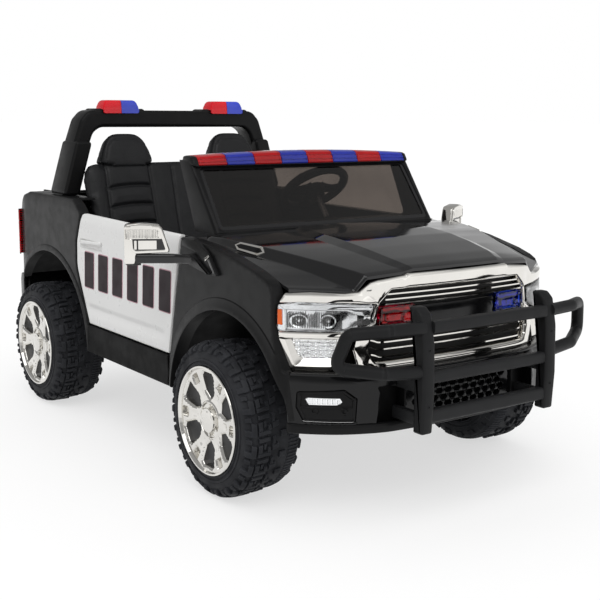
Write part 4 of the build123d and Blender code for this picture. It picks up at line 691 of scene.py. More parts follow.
    def mesh(self, name, turn=1.0):
        mesh = bpy.data.meshes.new(name)
        mesh.from_pydata([(p.x, p.y * turn, p.z) for p in self.points], [], self.faces)
        tidy = bmesh.new()
        tidy.from_mesh(mesh)
        loose = [v for v in tidy.verts if not v.link_faces]
        bmesh.ops.delete(tidy, geom=loose, context="VERTS")
        bmesh.ops.recalc_face_normals(tidy, faces=tidy.faces)
        tidy.to_mesh(mesh)
        tidy.free()
        return mesh

    def make(
        self, name, material, body="root", slot=None, replaces=(), sharp=32.0, mirror=False
    ):
        """The piece as an object that rides on a body. mirror swaps its sides."""
        piece = bpy.data.objects.new(name, self.mesh(name, -1.0 if mirror else 1.0))
        return dress(piece, material, body, replaces, sharp)


def dress(piece, material, body, replaces, sharp):
    """Gives an object its shading, material, body and the CAD nodes it stands for."""
    if piece.name not in bpy.context.scene.collection.objects:
        bpy.context.scene.collection.objects.link(piece)
    mesh = piece.data
    mesh.shade_smooth()
    if sharp:
        mesh.set_sharp_from_angle(angle=math.radians(sharp))
    mesh.materials.clear()
    mesh.materials.append(material)
    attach(piece, body)
    if replaces:
        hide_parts(*replaces)
    return piece


def pair(shape, name, material, body="root", slot=None, replaces=(), sharp=32.0):
    """Makes a piece on the right and its mirror image on the left."""
    for side in ("right", "left"):
        own = f"{body}_{side}" if body != "root" else "root"
        stands = [f"{node}_{side}" for node in replaces]
        shape.make(f"{name}_{side}", material, own, slot, stands, sharp, mirror=side == "left")


# ------------------------------------------------------------------------ body panels
BODY_HALF = 0.322
PANEL, DOOR_SKIN = 0.022, 0.012  # thickness of a body panel, and of a door's outer skin
CREASED = {"step": 0.0055, "edge": 0.004}
tyre_low, tyre_high = edges_of("tyre_front_right")
FRONT_X = (tyre_low[0] + tyre_high[0]) / 2
HUB_Z = (tyre_low[2] + tyre_high[2]) / 2
TYRE_OUT, TYRE_IN = -tyre_low[1], -tyre_high[1]
rear_low, rear_high = edges_of("tyre_rear_right")
REAR_X = (rear_low[0] + rear_high[0]) / 2
FRONT_ARCH, FRONT_ARCH_R, FRONT_FLARE = (FRONT_X, HUB_Z), 0.195, 0.0245
REAR_ARCH, REAR_ARCH_R, REAR_FLARE = (REAR_X, 0.1485), 0.212, 0.0165
HOOD_LINE = mm(215, 457, 270, 453, 350, 441, 430, 423, 499, 401)
side_place = upright(-BODY_HALF)


def arc(centre, radius, start, end, count=48):
    """Points on an arc in the side view, between two angles in degrees."""
    turns = [math.radians(start + (end - start) * k / (count - 1)) for k in range(count)]
    return [(centre[0] + radius * math.cos(t), centre[1] + radius * math.sin(t)) for t in turns]


def flare(x, z, centre, radius, width, step_height, lip):
    """Relief of a wheel-arch flare: a low step with a lip that rises towards the opening."""
    away = np.hypot(x - centre[0], z - centre[1]) - radius
    rise = np.clip(away / width, 0.0, 1.0)
    return within(away, width - 0.002, width) * step_height + lip * (1 - rise) ** 1.6


def flare_lines(centre, radius, width, start, end):
    return [arc(centre, radius + away, start, end, 90) for away in (width, width - 0.002)]


def fender_relief(x, z):
    # the corner rounds in towards the headlight
    front = np.clip((x - 0.486) / 0.026, 0.0, 1.0)
    return flare(x, z, FRONT_ARCH, FRONT_ARCH_R, FRONT_FLARE, 0.0016, 0.0055) - 0.01 * front**2


fender_front = mm(
    461, 413, 474.5, 405.5, 481.5, 394, 482.5, 376.5, 482.5, 340, 486.5, 315, 504.5, 264,
    513, 260, 521.6, 181,
)
fender = Shape().panel(
    [
        *mm(123.7, 158, 123.7, 222.5, 145.7, 332, 172.7, 454, 172.7, 457),
        *HOOD_LINE[:-1], *fender_front, *arc(FRONT_ARCH, FRONT_ARCH_R, 11.0, 175.75, 80),
    ],
    side_place, PANEL, relief=fender_relief, **CREASED,
    lines=flare_lines(FRONT_ARCH, FRONT_ARCH_R, FRONT_FLARE, 8.0, 178.0),
)
pair(fender, "fender_skin", BODY, slot="body_satin", replaces=["front_fender"])

DOOR_OUTLINE = round_corners(
    mm(
        119, 222.5, 141, 332, 168, 454, 170, 460, -275, 466, -302, 404, -305, 347, -281, 293,
        -246, 222.5,
    ),
    [0.003, 0.0, 0.01, 0.0, 0.014, 0.03, 0.05, 0.05, 0.006],
)
HANDLE = (-0.229, 0.399)
SILL_CREASE = 0.2665


def door_relief(x, z):
    # recess behind the handle, crease along the sill, and a soft shoulder under the top edge
    across, up = np.abs(x - HANDLE[0]) - 0.056, np.abs(z - HANDLE[1] + 0.002) - 0.013
    pocket = within(np.maximum(across, up), -0.005)
    drop = SILL_CREASE - z
    crease = smooth_step(drop, 0.0, 0.005) * within(drop, 0.006, 0.03)
    end = smooth_step(x, -0.262, -0.235) * within(x, 0.08, 0.115)
    shoulder = smooth_step(z, 0.445, 0.466)
    return -0.01 * pocket - 0.003 * crease * end - 0.0025 * shoulder


door = Shape().panel(
    DOOR_OUTLINE, side_place, DOOR_SKIN, step=0.0055, edge=0.003, relief=door_relief
)
pair(door, "door_skin", WHITE, "door", "door_white", ["door"])
liner = Shape().panel(
    shrink(DOOR_OUTLINE, 0.0025), raised(side_place, -DOOR_SKIN), PANEL - DOOR_SKIN,
    step=0.02, edge=0.0,
)
pair(liner, "door_liner", BLACK, "door", "black_plastic")
handle = Shape().panel(
    round_corners(mm(-281, 398, -178, 403, -178, 411, -281, 407), 0.003),
    raised(side_place, 0.002), 0.011, step=0.005, edge=0.0025,
)
pair(handle, "door_handle", WHITE, "door", "door_white")

# livery: a row of plain slanted bars with a thin rose border, where the door had lettering
PLUM = moulded("livery_plum", (0.016, 0.006, 0.01), 0.4, grain=0.0, wear=0.0, specular=0.12)
ROSE = moulded("livery_rose", (0.62, 0.33, 0.4), 0.35, grain=0.0, wear=0.0)
BAR_PITCH, BAR_WIDTH, BAR_SLANT, BORDER = 0.0695, 0.0455, 0.005, 0.0018
bars, borders = Shape(), Shape()
for k in range(6):
    x0, top = -0.264 + k * BAR_PITCH, 0.383 + 0.0007 * k
    x1 = x0 + BAR_WIDTH
    corners = [(x0, 0.3045), (x1, 0.304), (x1 + BAR_SLANT, top), (x0 + 0.0045, top)]
    bar = round_corners(corners, 0.004)
    bars.panel(bar, raised(side_place, 0.0009), 0.0012, step=0.012, edge=0.0)
    border = shrink(bar, -BORDER)
    borders.panel(border, raised(side_place, 0.0005), 0.0008, step=0.012, edge=0.0)
pair(bars, "livery_bars", PLUM, "door")
pair(borders, "livery_borders", ROSE, "door")


def quarter_relief(x, z):
    # the quarter turns in a little at the tail and over the rail
    tail = np.clip((-0.6 - x) / 0.055, 0.0, 1.0)
    rise = flare(x, z, REAR_ARCH, REAR_ARCH_R, REAR_FLARE, 0.0012, 0.0025)
    return rise - 0.01 * tail**2 - 0.003 * smooth_step(z, 0.47, 0.495)


quarter_line = round_corners(
    mm(
        -250.5, 158, -250.5, 222.5, -285.5, 293, -309.5, 347, -306.5, 404, -279.5, 466,
        -303, 484, -327, 495, -585, 495, -623, 485, -647, 455, -655, 400, -655, 290,
        -638, 278.2,
    ),
    [0.0, 0.006, 0.05, 0.05, 0.03, 0.014, 0.01, 0.006, 0.02, 0.02, 0.02, 0.03, 0.004, 0.0],
)
quarter = Shape().panel(
    [*quarter_line, *arc(REAR_ARCH, REAR_ARCH_R, 142.3, 2.65, 80)],
    side_place, PANEL, relief=quarter_relief, **CREASED,
    lines=flare_lines(REAR_ARCH, REAR_ARCH_R, REAR_FLARE, 0.0, 146.0),
)
quarter.panel(
    rect(-0.585, 0.2622, -0.327, 0.3005, 0.002),
    lambda x, y, depth: Vector((x, -y, 0.495 - depth)), 0.005, step=0.02, edge=0.0015,
)
pair(quarter, "quarter_skin", BODY, slot="body_satin", replaces=["rear_quarter"])

sill = Shape().panel(
    rect(-0.2495, 0.1583, 0.1225, 0.2203), raised(side_place, 0.0035), 0.0032,
    step=0.005, edge=0.0016, relief=lambda x, z: -0.0016 * ridge(z - 0.184, 0.014),
)
pair(sill, "sill_cover", SILL, slot="body_satin")


# ------------------------------------------------------------------------ nose outline
NOSE = mm(586, -125, 592, 0, 586, 125, 577, 183, 546, 250, 497, 306, 474, 322)
nose_line = smooth_path(NOSE, 12)
NOSE_Y = np.array([p.y for p in nose_line if p.y >= 0])
NOSE_XS = np.array([p.x for p in nose_line if p.y >= 0])


def nose_x(y):
    return float(np.interp(abs(y), NOSE_Y, NOSE_XS))


def nose_place(y, z, depth):
    """Point on the nose at a distance from the middle, a height and a depth behind its face."""
    slope = (nose_x(y + 0.002) - nose_x(y - 0.002)) / 0.004
    size = math.hypot(1.0, slope)
    return Vector((nose_x(y) - depth / size, y + depth * slope / size, z))


# ------------------------------------------------------------------------------- hood
HOOD_REAR = edges_of("hood")[0][0]
HOOD_KEYS = [0.225, 0.27, 0.31, 0.367, 0.43, 0.482, 0.546, 0.592]


def hood_line(*values):
    """Half widths and heights of a line along the hood, at the keys above, in millimetres."""
    return [v / 1000 for v in values[:8]], [v / 1000 for v in values[8:]]


HOOD_LINES = [
    hood_line(*[0] * 8, 472.5, 473, 472.5, 470, 464, 456, 444, 431),  # spine
    hood_line(80, 95, 115, 128, 127, 122, 114, 98, 471, 471, 470.5, 469, 462.5, 454.5, 442, 429),
    hood_line(100, 120, 140, 150, 149, 144, 133, 116, 466, 465, 464, 462, 455.5, 448, 436, 425),
    hood_line(
        293, 289, 283, 265.5, 241.5, 222, 198, 183, 463, 464, 461, 455.5, 446.5, 438.5, 428, 418
    ),
    hood_line(
        296.5, 294.5, 290.5, 279, 256.5, 238, 215, 200, 453, 451, 447, 439.5, 429.5, 419, 401, 393
    ),
    hood_line(*[299.5] * 8, 455.5, 452, 446, 437, 422, 405, 394, 392),
]
HOOD_ROUND = [0.0, 0.004, 0.004, 0.006, 0.005, 0.0]
HOOD_ROWS = 56


def hood_section(x):
    line = [(np.interp(x, HOOD_KEYS, ys), np.interp(x, HOOD_KEYS, zs)) for ys, zs in HOOD_LINES]
    eased_line = round_corners(line, HOOD_ROUND, 4, closed=False)
    spine, first = eased_line[:2]
    return [spine.lerp(first, t) for t in (0.0, 0.25, 0.5, 0.75)] + eased_line[1:]


def hood_sheet(drop):
    """Rows of points over the hood from its rear edge to the nose."""
    rows = []
    for s in range(HOOD_ROWS + 1):
        share = s / HOOD_ROWS
        row = []
        for k in range(len(hood_section(0.3))):
            y = 0.1
            for _ in range(4):  # the nose curves back, so x and y are found in turns
                x = HOOD_REAR + (nose_x(y) - 0.006 - HOOD_REAR) * share
                point = hood_section(x)[k]
                y = point.x
            lip = 0.006 * within(share, 0.0, 0.03) + 0.004 * smooth_step(share, 0.985, 1.0)
            row.append(Vector((x, point.x, point.y - float(lip) * 0.5 - drop)))
        rows.append([Vector((p.x, -p.y, p.z)) for p in row[:0:-1]] + row)
    return rows


def shell(shape, top, under):
    """Closed shell from two sheets of rows with the same size."""
    rows, width = len(top), len(top[0])
    faces = []
    for r in range(rows - 1):
        for c in range(width - 1):
            a, b = r * width + c, (r + 1) * width + c
            faces.append((a, a + 1, b + 1, b))
            faces.append(tuple(rows * width + i for i in (b, b + 1, a + 1, a)))
    rim = [*range(width), *(r * width + width - 1 for r in range(1, rows))]
    rim += [(rows - 1) * width + c for c in range(width - 2, -1, -1)]
    rim += [r * width for r in range(rows - 2, 0, -1)]
    for i, a in enumerate(rim):
        b = rim[(i + 1) % len(rim)]
        faces.append((b, a, rows * width + a, rows * width + b))
    return shape.add([p for row in (*top, *under) for p in row], faces)


hood = shell(Shape(), hood_sheet(0.0), hood_sheet(0.005))
hood.make("hood_panel", GLOSS, slot="hood_gloss", replaces=["hood"], sharp=50.0)


# ----------------------------------------------------------------------------- wheels
RIM_R = 0.1
RIM_FACE = TYRE_OUT + 0.0035
LUGS, FINE_RIBS, WEB_RIBS = 22, 120, 12
TYRE_MIDDLE = (TYRE_OUT + TYRE_IN) / 2
TREAD = [  # radius and distance from the middle, from the outer sidewall to the tyre's middle
    (0.115, TYRE_OUT - 0.0016), (0.123, TYRE_OUT - 0.0034), (0.13, TYRE_OUT - 0.0078),
    (0.1352, TYRE_OUT - 0.015), (0.1372, TYRE_OUT - 0.025), (0.1375, TYRE_MIDDLE),
]
TREAD_RUN = np.cumsum([0.0, *(math.dist(a, b) for a, b in zip(TREAD, TREAD[1:]))])
TREAD_HALF = TREAD_RUN[-1]


def tread_point(turn, run, height, place):
    """Point on the carcass at an angle and a distance round its section, raised by a height."""
    mirrored = run > TREAD_HALF
    run = 2 * TREAD_HALF - run if mirrored else run
    (r, y), (r2, y2) = (
        [np.interp(at, TREAD_RUN, values) for values in zip(*TREAD)] for at in (run, run + 0.002)
    )
    slope = Vector((y - y2, r2 - r)) if (y != y2 or r != r2) else Vector((1.0, 0.0))
    slope.normalize()
    r, y = r + slope.x * height, y + slope.y * height
    if mirrored:
        y = TYRE_OUT + TYRE_IN - y
    return place(r * math.cos(turn), r * math.sin(turn), y)


def lug(shape, place, start, end, left, right, height):
    """Tread block between two runs, its sides given as angles at the start, middle and end."""
    along = max(4, round((end - start) / 0.006))
    shares = [0.0, 0.05, *[0.05 + 0.9 * k / along for k in range(1, along)], 0.95, 1.0]
    sides = [0.0, 0.1, 0.1 + 0.8 / 3, 0.1 + 1.6 / 3, 0.9, 1.0]
    rows, foot = [], []
    for s in shares:
        run = start + (end - start) * s
        a, b = (np.interp(s, (0.0, 0.5, 1.0), side) for side in (left, right))
        crown_share = float(smooth_step(min(run, 2 * TREAD_HALF - run), 0.0, 0.018))
        rise = height * (0.28 + 0.72 * crown_share)
        row = []
        for t in sides:
            edge = 0.0011 if s in (0.0, 1.0) or t in (0.0, 1.0) else 0.0
            row.append(tread_point(a + (b - a) * t, run, rise - edge, place))
        rows.append(row)
        splay = [a + (b - a) * t + (t - 0.5) * 0.012 for t in sides]
        foot.append([tread_point(turn, run, -0.001, place) for turn in splay])
    shell(shape, rows, foot)


# blocks of the tread: where they start and end round the section, their left and right sides
# in shares of the pitch, and their height: hooks and cut blocks over the outer half
OUTER_LUGS = [
    (0.0095, 0.023, (0.1, 0.06, 0.04), (0.36, 0.34, 0.3), 0.006),
    (0.0215, 0.029, (0.04, 0.04, 0.06), (0.66, 0.62, 0.6), 0.006),
    (0.012, 0.0225, (0.72, 0.7, 0.66), (0.9, 0.92, 0.88), 0.005),
    (0.032, 0.056, (0.06, 0.1, 0.12), (0.24, 0.27, 0.28), 0.006),
    (0.032, 0.039, (0.23, 0.26, 0.27), (0.62, 0.64, 0.66), 0.006),
    (0.05, 0.056, (0.26, 0.27, 0.28), (0.5, 0.5, 0.52), 0.006),
    (0.042, 0.047, (0.4, 0.42, 0.42), (0.66, 0.68, 0.68), 0.0046),
    (0.033, 0.054, (0.76, 0.78, 0.8), (0.93, 0.95, 0.98), 0.006),
    (0.059, 0.072, (0.34, 0.38, 0.44), (0.58, 0.6, 0.66), 0.006),
    (0.06, 0.0655, (0.58, 0.6, 0.62), (0.94, 0.96, 0.98), 0.005),
]
INNER_LUGS = [
    (0.004, 0.015, (0.1, 0.08, 0.06), (0.62, 0.6, 0.58), 0.005),
    (0.052, 0.064, (0.3, 0.32, 0.34), (0.62, 0.6, 0.64), 0.004),
]
SIDEWALL = [
    (0.0998, -0.008), (0.1, -0.0012), (0.1012, -0.0002), (0.104, 0.0), (0.105, -0.0016),
    (0.1078, -0.002), (0.1084, -0.0004), (0.112, -0.0002), (0.1128, -0.0018),
]


def make_tyre(centre_x, name, body, node, mirror):
    def place(u, v, along):
        return Vector((centre_x + u, -along, HUB_Z + v))

    tyre = Shape()
    outer = [*((r, TYRE_OUT + y) for r, y in SIDEWALL), *TREAD[:-1]]
    inner = [(r, TYRE_OUT + TYRE_IN - y) for r, y in outer[:0:-1]]
    web = TYRE_IN + 0.021
    well = [
        (RIM_R, TYRE_IN + 0.001), (0.0985, TYRE_IN), (0.097, TYRE_IN + 0.0015), (0.097, web),
        (0.0061, web), (0.0061, TYRE_OUT - 0.0235), (0.019, TYRE_OUT - 0.0235),
        (0.019, TYRE_IN + 0.029), (0.0998, TYRE_IN + 0.029),
    ]
    tyre.lathe([*outer, *inner, *well], place, 120)
    # ribs on the web behind the spokes and inside the barrel
    for k in range(WEB_RIBS):
        turn = math.radians(30 * k + 15)
        for start, low, high in ((0.0195, 0.029, 0.052), (0.04, 0.006, 0.021)):
            loop = bar_at(turn, start, 0.0965, 0.0012)
            tyre.stack(place, [(loop, TYRE_IN + low), (loop, TYRE_IN + high)])
    pitch = 2 * math.pi / LUGS
    for lugs, phase, sign in ((OUTER_LUGS, 0.0, 1.0), (INNER_LUGS, 0.5, -1.0)):
        for k in range(LUGS):
            base = (k + phase) * pitch
            for start, end, left, right, height in lugs:
                if sign < 0:
                    start, end = 2 * TREAD_HALF - end, 2 * TREAD_HALF - start
                    left, right = left[::-1], right[::-1]
                left, right = ([base + sign * t * pitch for t in side] for side in (left, right))
                lug(tyre, place, start, end, left, right, height)
    # fine ribs on the smooth inner half
    runs = [2 * TREAD_HALF - run for run in (0.022, 0.028, 0.036, 0.044)]
    turns = (-0.012, -0.008, 0.008, 0.012)
    for turn in angles(FINE_RIBS):
        top, foot = (
            [[tread_point(turn + t, run, h, place) for run in runs] for t, h in zip(turns, rise)]
            for rise in ((-0.0003, 0.0014, 0.0014, -0.0003), (-0.001,) * 4)
        )
        shell(tyre, top, foot)
    tyre.make(name, TYRE, body, "wheel_black", [node], sharp=28.0, mirror=mirror)


WINDOW = mm(38.5, 0, 52, 15, 80, 20.5, 86.8, 15, 86.8, -15, 80, -20.5, 52, -15)


def turned(points, turn):
    c, s = math.cos(turn), math.sin(turn)
    return [Vector((p[0] * c - p[1] * s, p[0] * s + p[1] * c)) for p in points]


RIM_WINDOWS = [round_corners(turned(WINDOW, math.radians(30 + 60 * k)), 0.003, 3) for k in range(6)]
RIM_CIRCLES = [0.0961, 0.0937, 0.0896, 0.088, 0.036, 0.0336, 0.0325, 0.0306, 0.0232, 0.0216]


def rim_relief(u, v):
    away = np.hypot(u, v)
    turn = np.arctan2(v, u)
    sector = (turn + math.pi / 6) % (math.pi / 3) - math.pi / 6  # about each spoke's middle
    ray, side = away * np.cos(sector), np.abs(away * np.sin(sector))
    lip = smooth_step(away, 0.0938, 0.096)
    boss, cup = within(away, 0.0335, 0.036), within(away, 0.0305, 0.0325)
    cap = within(away, 0.0215, 0.0232)
    depth = (0.0052 + 0.006 * within(away, 0.04, 0.086)) * (1 - lip) + 0.0004 * lip
    for share, level in ((boss, 0.0095), (cup, 0.0135), (cap, 0.003 + 0.002 * (away / 0.022) ** 2)):
        depth = depth * (1 - share) + level * share
    groove = (away > 0.0165) * (away < 0.018) * 0.0009
    # a pocket at each spoke's outer end, a flute along it, and rings and chamfers
    spoke = (1 - lip) * (1 - boss)
    pocket = within(side, 0.0078, 0.009) * smooth_step(ray, 0.07, 0.0714)
    pocket = pocket * within(away, 0.088, 0.0894)
    flute = within(side, 0.003, 0.006) * smooth_step(ray, 0.04, 0.046) * within(ray, 0.056, 0.062)
    rings = 0.0008 * (ridge(away - 0.0275, 0.001) + ridge(away - 0.03, 0.001))
    chamfer = within(distance_to(np.stack([u, v], -1), RIM_WINDOWS), 0.0008, 0.0034)
    return -(depth + groove - rings + spoke * (0.0095 * pocket + 0.0012 * flute) + 0.0024 * chamfer)


def make_rim(centre_x, name, body, node, mirror):
    def face(u, v, depth):
        return Vector((centre_x + u, depth - RIM_FACE, HUB_Z + v))

    lines = [circle(r, 72) for r in RIM_CIRCLES]
    pocket = mm(70.3, -8.6, 70.3, 8.6, 87.8, 8.6, 87.8, -8.6)
    lines += [turned(pocket, math.radians(60 * k)) for k in range(6)]
    rim = Shape().panel(
        circle(RIM_R - 0.0003, 120), face, 0.0235, holes=RIM_WINDOWS,
        lines=[[*line, line[0]] for line in lines], step=0.0026, edge=0.0016, relief=rim_relief,
    )
    # wheel nuts round the cap
    for k in range(6):
        turn = math.radians(60 * k + 30)
        middle = Vector((0.027 * math.cos(turn), 0.027 * math.sin(turn)))
        rim.prism([middle + p for p in circle(0.003, 6)], face, 0.015, 0.0085, 0.0006)
    rim.make(name, NICKEL, body, "chrome", [node], sharp=24.0, mirror=mirror)
    cover = Shape().discs(face, (0.0, 0.0), 60, ((0.09, 0.0165), (0.09, 0.019)))
    cover.make(f"{name}_backing", HUB, body, mirror=mirror)


for axle, x in (("front", FRONT_X), ("rear", REAR_X)):
    for side in ("right", "left"):
        body, mirror = f"wheel_{axle}_{side}", side == "left"
        make_tyre(x, f"{axle}_{side}_tread", body, f"tyre_{axle}_{side}", mirror)
        make_rim(x, f"{axle}_{side}_hub_disc", body, f"rim_{axle}_{side}", mirror)


# -------------------------------------------------------------------------- front end
def ahead_by(offset):
    """Place on the nose line, moved straight forward by an offset."""
    return lambda y, z, depth: Vector((nose_x(y) + offset - depth, y, z))


def nose_shelf(z, sign):
    """Level place that follows the nose: a distance before it as v, and depth down or up."""
    return lambda y, t, depth: Vector((nose_x(y) + t, y, z + sign * depth))


def both(half):
    """Closed outline from its right half, listed from the top's middle to the bottom's."""
    return [*half, *((-y, z) for y, z in reversed(half))]


OPENING_HALF = mm(-150, 397.5, -171.5, 376.5, -177.5, 342, -190, 300, -186, 285, -176, 276)
SURROUND_HALF = mm(
    -115, 423.5, -122, 420.5, -176, 415, -188.5, 412, -206, 397, -228, 394.5, -275, 396.2,
    -307.5, 394.5, -314.8, 376.8, -287.6, 379.2, -234.6, 378.2, -176.5, 375.2, -182.5, 343,
    -208, 330, -214, 300, -206, 270, -190, 258.5,
)
SURROUND_EASE = [
    0.003, 0.003, 0.0, 0.006, 0.006, 0.0, 0.004, 0.006, 0.003, 0.0, 0.0, 0.002, 0.004, 0.006,
    0.02, 0.01, 0.004,
]


def surround_relief(y, z):
    # rolled forward over the top, a raised plateau in the middle and a hollow in the upper corners
    plateau = within(np.abs(y), 0.117, 0.123) * smooth_step(z, 0.396, 0.41)
    corner = ridge(np.hypot(np.abs(y) - 0.19, z - 0.392), 0.012)
    low = ridge(z - 0.2665, 0.007) * (np.abs(y) < 0.2)
    return 0.0015 + 0.0015 * plateau - 0.003 * corner + 0.0025 * low


surround = Shape().panel(
    round_corners(both(SURROUND_HALF), [*SURROUND_EASE, *SURROUND_EASE[::-1]]), nose_place, 0.012,
    holes=[round_corners(both(OPENING_HALF), 0.006)], step=0.006, edge=0.0034,
    relief=surround_relief,
)
surround.make("grille_frame", CHROME, slot="chrome", replaces=["grille_surround"], sharp=40.0)

LOUVRE = mm(-1.2, 0, -2.4, -2.5, -1.9, -12, 1, -12, 2.1, -3, 1.2, 0)
LOUVRE_STEPS = 60
opening_ys, opening_zs = zip(*((-y, z) for y, z in reversed(OPENING_HALF)))
bars = Shape()
for z in (0.39, 0.381, 0.3725, 0.3205, 0.3085, 0.2965, 0.283):
    half = float(np.interp(z, opening_zs, opening_ys)) - 0.002
    path = []
    for k in range(LOUVRE_STEPS + 1):
        y = -half + 2 * half * k / LOUVRE_STEPS
        bend = float(smooth_step(abs(y), half - 0.016, half)) if z < 0.33 else 0.0
        path.append(nose_place(y, z + 0.004 * bend, 0.0025 + 0.006 * bend))
    bars.sweep(LOUVRE, path)
bars.make("grille_louvres", CHROME, slot="chrome", replaces=["grille_bars"], sharp=50.0)

band = Shape().panel(
    rect(-0.0935, 0.329, 0.0935, 0.3655, 0.004), nose_place, 0.013, step=0.008, edge=0.002,
    relief=waves(-0.0045, 0.0006, 0.0048, 0.347, down=True),
)
band.make("grille_blank_band", BUMPER, slot="black_plastic")


def lamp_relief(y, z):
    # a raised rim round a sunken window with a bright bar across its top
    side, up = np.abs(np.abs(y) - 0.135), np.abs(z - 0.352)
    rim = smooth_step(np.maximum(side - 0.033, up - 0.013), -0.002, 0.0)
    window = within(np.maximum(side - 0.018, np.abs(z - 0.348) - 0.0075), -0.0015)
    return -0.0035 + 0.002 * rim - 0.004 * window


for side, look, colour in (("right", DEEP_RED, "red"), ("left", DEEP_BLUE, "blue")):
    lamp = Shape().panel(
        rect(-0.1715, 0.335, -0.097, 0.3695, 0.003), nose_place, 0.009,
        step=0.004, edge=0.0014, relief=lamp_relief,
    )
    stands, mirror = [f"grille_lamp_{colour}"], side == "left"
    lamp.make(f"grille_lens_{side}", look, "root", f"lens_{colour}", stands, mirror=mirror)
    glow = Shape().panel(
        rect(-0.166, 0.339, -0.103, 0.366), nose_place, 0.0128, edge=0.0,
        relief=waves(-0.0105, 0.001, 0.0045),
    )
    glow.make(f"grille_reflector_{side}", SILVER, mirror=mirror)

# headlights: a silver housing with ribs and bulbs behind a clear lens, over a hatched lower lamp
LENS = mm(
    -314.2, 375, -287.6, 377.5, -234.6, 376.5, -179, 373.5, -185, 344.5, -216, 332.5,
    -226, 330, -314.8, 330, -315.6, 355,
)
housing_foot = mm(
    -216, 330, -224, 317.2, -220, 300, -234, 261.2, -297, 261.2, -313.5, 317.2, -315, 350
)
housing = Shape().panel(
    round_corners([*LENS[:5], *housing_foot], 0.003), nose_place, 0.026, edge=0.0,
    relief=waves(-0.0135, 0.0012, 0.0036),
)
pair(housing, "headlight_housing", SILVER, slot="lens_clear", replaces=["headlight"])
RIB = mm(-0.6, 12.5, -0.6, 4.5, 0, 3.6, 0.6, 4.5, 0.6, 12.5)
ribs = Shape()
for k in range(24):
    y = -0.3035 + 0.003 * k
    tall = 0.36 - (0.004 if 8 <= k <= 10 else 0.0)
    ribs.rings([[nose_place(y + a, z, d) for a, d in RIB] for z in (0.3355, tall)])
lid_line = mm(
    -314, 365.5, -313.2, 374.8, -234.6, 375, -180.5, 372, -185, 352, -206, 355.5, -225, 364
)
lid = Shape().panel(
    round_corners(lid_line, 0.003), nose_place, 0.012, step=0.006, edge=0.0015,
    relief=lambda y, z: -0.0035 - 0.35 * np.clip(0.368 - z, 0.0, 0.02),
)
strip = Shape().panel(
    round_corners(mm(-314.4, 318, -315, 329.8, -214, 329.8, -214, 318), 0.002), nose_place, 0.013,
    step=0.006, relief=flat_at(0.0005),
)
for piece, name, look in ((ribs, "ribs", GLOSS), (lid, "lid", SILVER), (strip, "strip", CHROME)):
    pair(piece, f"headlight_{name}", look, slot="chrome", sharp=40.0)
bowls = Shape()
for y in (-0.29, -0.252):
    at = (y, 0.3475)
    for r0, r1, deep0, deep1 in ((0.0112, 0.0088, 0.0034, 0.005), (0.0088, 0.0035, 0.005, 0.012)):
        profile = ((r0, deep0), (r1, deep1), (r1, deep1 + 0.001), (r0, deep0 + 0.0015))
        bowls.discs(nose_place, at, 24, profile, closed=True)
    bowls.discs(nose_place, at, 16, ((0.003, 0.012), (0.003, 0.007), (0.0018, 0.0055)))
pair(bowls, "headlight_bowls", SILVER, slot="chrome", sharp=40.0)
amber = Shape().panel(
    round_corners(mm(-314.2, 341.5, -309.2, 340, -309.8, 366.5, -314.2, 366.5), 0.001),
    nose_place, 0.009, step=0.003, edge=0.0008, relief=waves(0.0026, 0.0004, 0.003, down=True),
)
pair(amber, "side_reflector", AMBER)
lamp_end = Shape().panel(
    round_corners(mm(-314.7, 330, -306, 330, -306.5, 366, -314.2, 374.5), 0.001),
    nose_place, 0.012, step=0.004, edge=0.0008, relief=flat_at(-0.003),
)
pair(lamp_end, "headlight_end", SILVER, slot="chrome")
lens = Shape().panel(
    round_corners(LENS, 0.004), nose_place, 0.0022, edge=0.0018,
    relief=lambda y, z: 0.0006 + 0.0012 * np.clip(1 - ((z - 0.354) / 0.024) ** 2, 0.0, 1.0),
)
pair(lens, "headlight_lens", CLEAR, slot="lens_clear", sharp=50.0)
lower_line = mm(
    -298.5, 316.8, -291.5, 290, -287.5, 285, -243, 285, -237.5, 296, -231, 316.8
)
HATCH = 0.003


def hatch_relief(y, z):
    dots = np.cos(y / HATCH * math.pi) ** 2, np.cos(z / HATCH * math.pi) ** 2
    return -0.0055 + 0.0011 * dots[0] + 0.0011 * dots[1]


lower_lamp = Shape().panel(
    round_corners(lower_line, 0.001), nose_place, 0.011, step=0.00135, edge=0.0006,
    relief=hatch_relief,
)
pair(lower_lamp, "lower_lamp", SILVER, slot="lens_clear", sharp=30.0)
BEZEL_RIDGE = mm(-306, 316.5, -294, 271.5, -238, 271.5, -226.5, 316.5)
bezel_line = mm(
    -313.5, 316.5, -297.5, 260.5, -233.5, 260.5, -219.5, 302, -221.5, 316.5, -231.2, 316.5,
    -238, 289, -243, 284.5, -284, 284.5, -288.5, 286.8, -291.5, 291.5, -298.5, 316.5,
)


def bezel_relief(y, z):
    return 0.0028 - 0.55 * distance_to(np.stack([y, z], -1), [BEZEL_RIDGE], closed=False)


bezel = Shape().panel(
    bezel_line, nose_place, 0.01, lines=[BEZEL_RIDGE], step=0.004, edge=0.0, relief=bezel_relief
)
pair(bezel, "headlight_bezel", CHROME, slot="chrome", sharp=20.0)

# bumper: a glossy face with a fog panel each side and a wide intake
FOG = mm(-300, 231, -240, 235.5, -219.5, 218.5, -221.5, 178.5, -292.5, 180, -301, 204)
INTAKE = both(mm(-188, 238, -181.5, 229, -188.5, 169))
FOG_LEFT = [(-y, z) for y, z in FOG]


def bumper_relief(y, z):
    away = np.abs(y)
    edge = smooth_step(away, 0.29, 0.311)
    shoulder = smooth_step(z, 0.24, 0.262)
    wing = smooth_step(away, 0.186, 0.192) * within(away, 0.214, 0.219)
    return -0.003 * edge - 0.006 * shoulder**2 - 0.0015 * wing


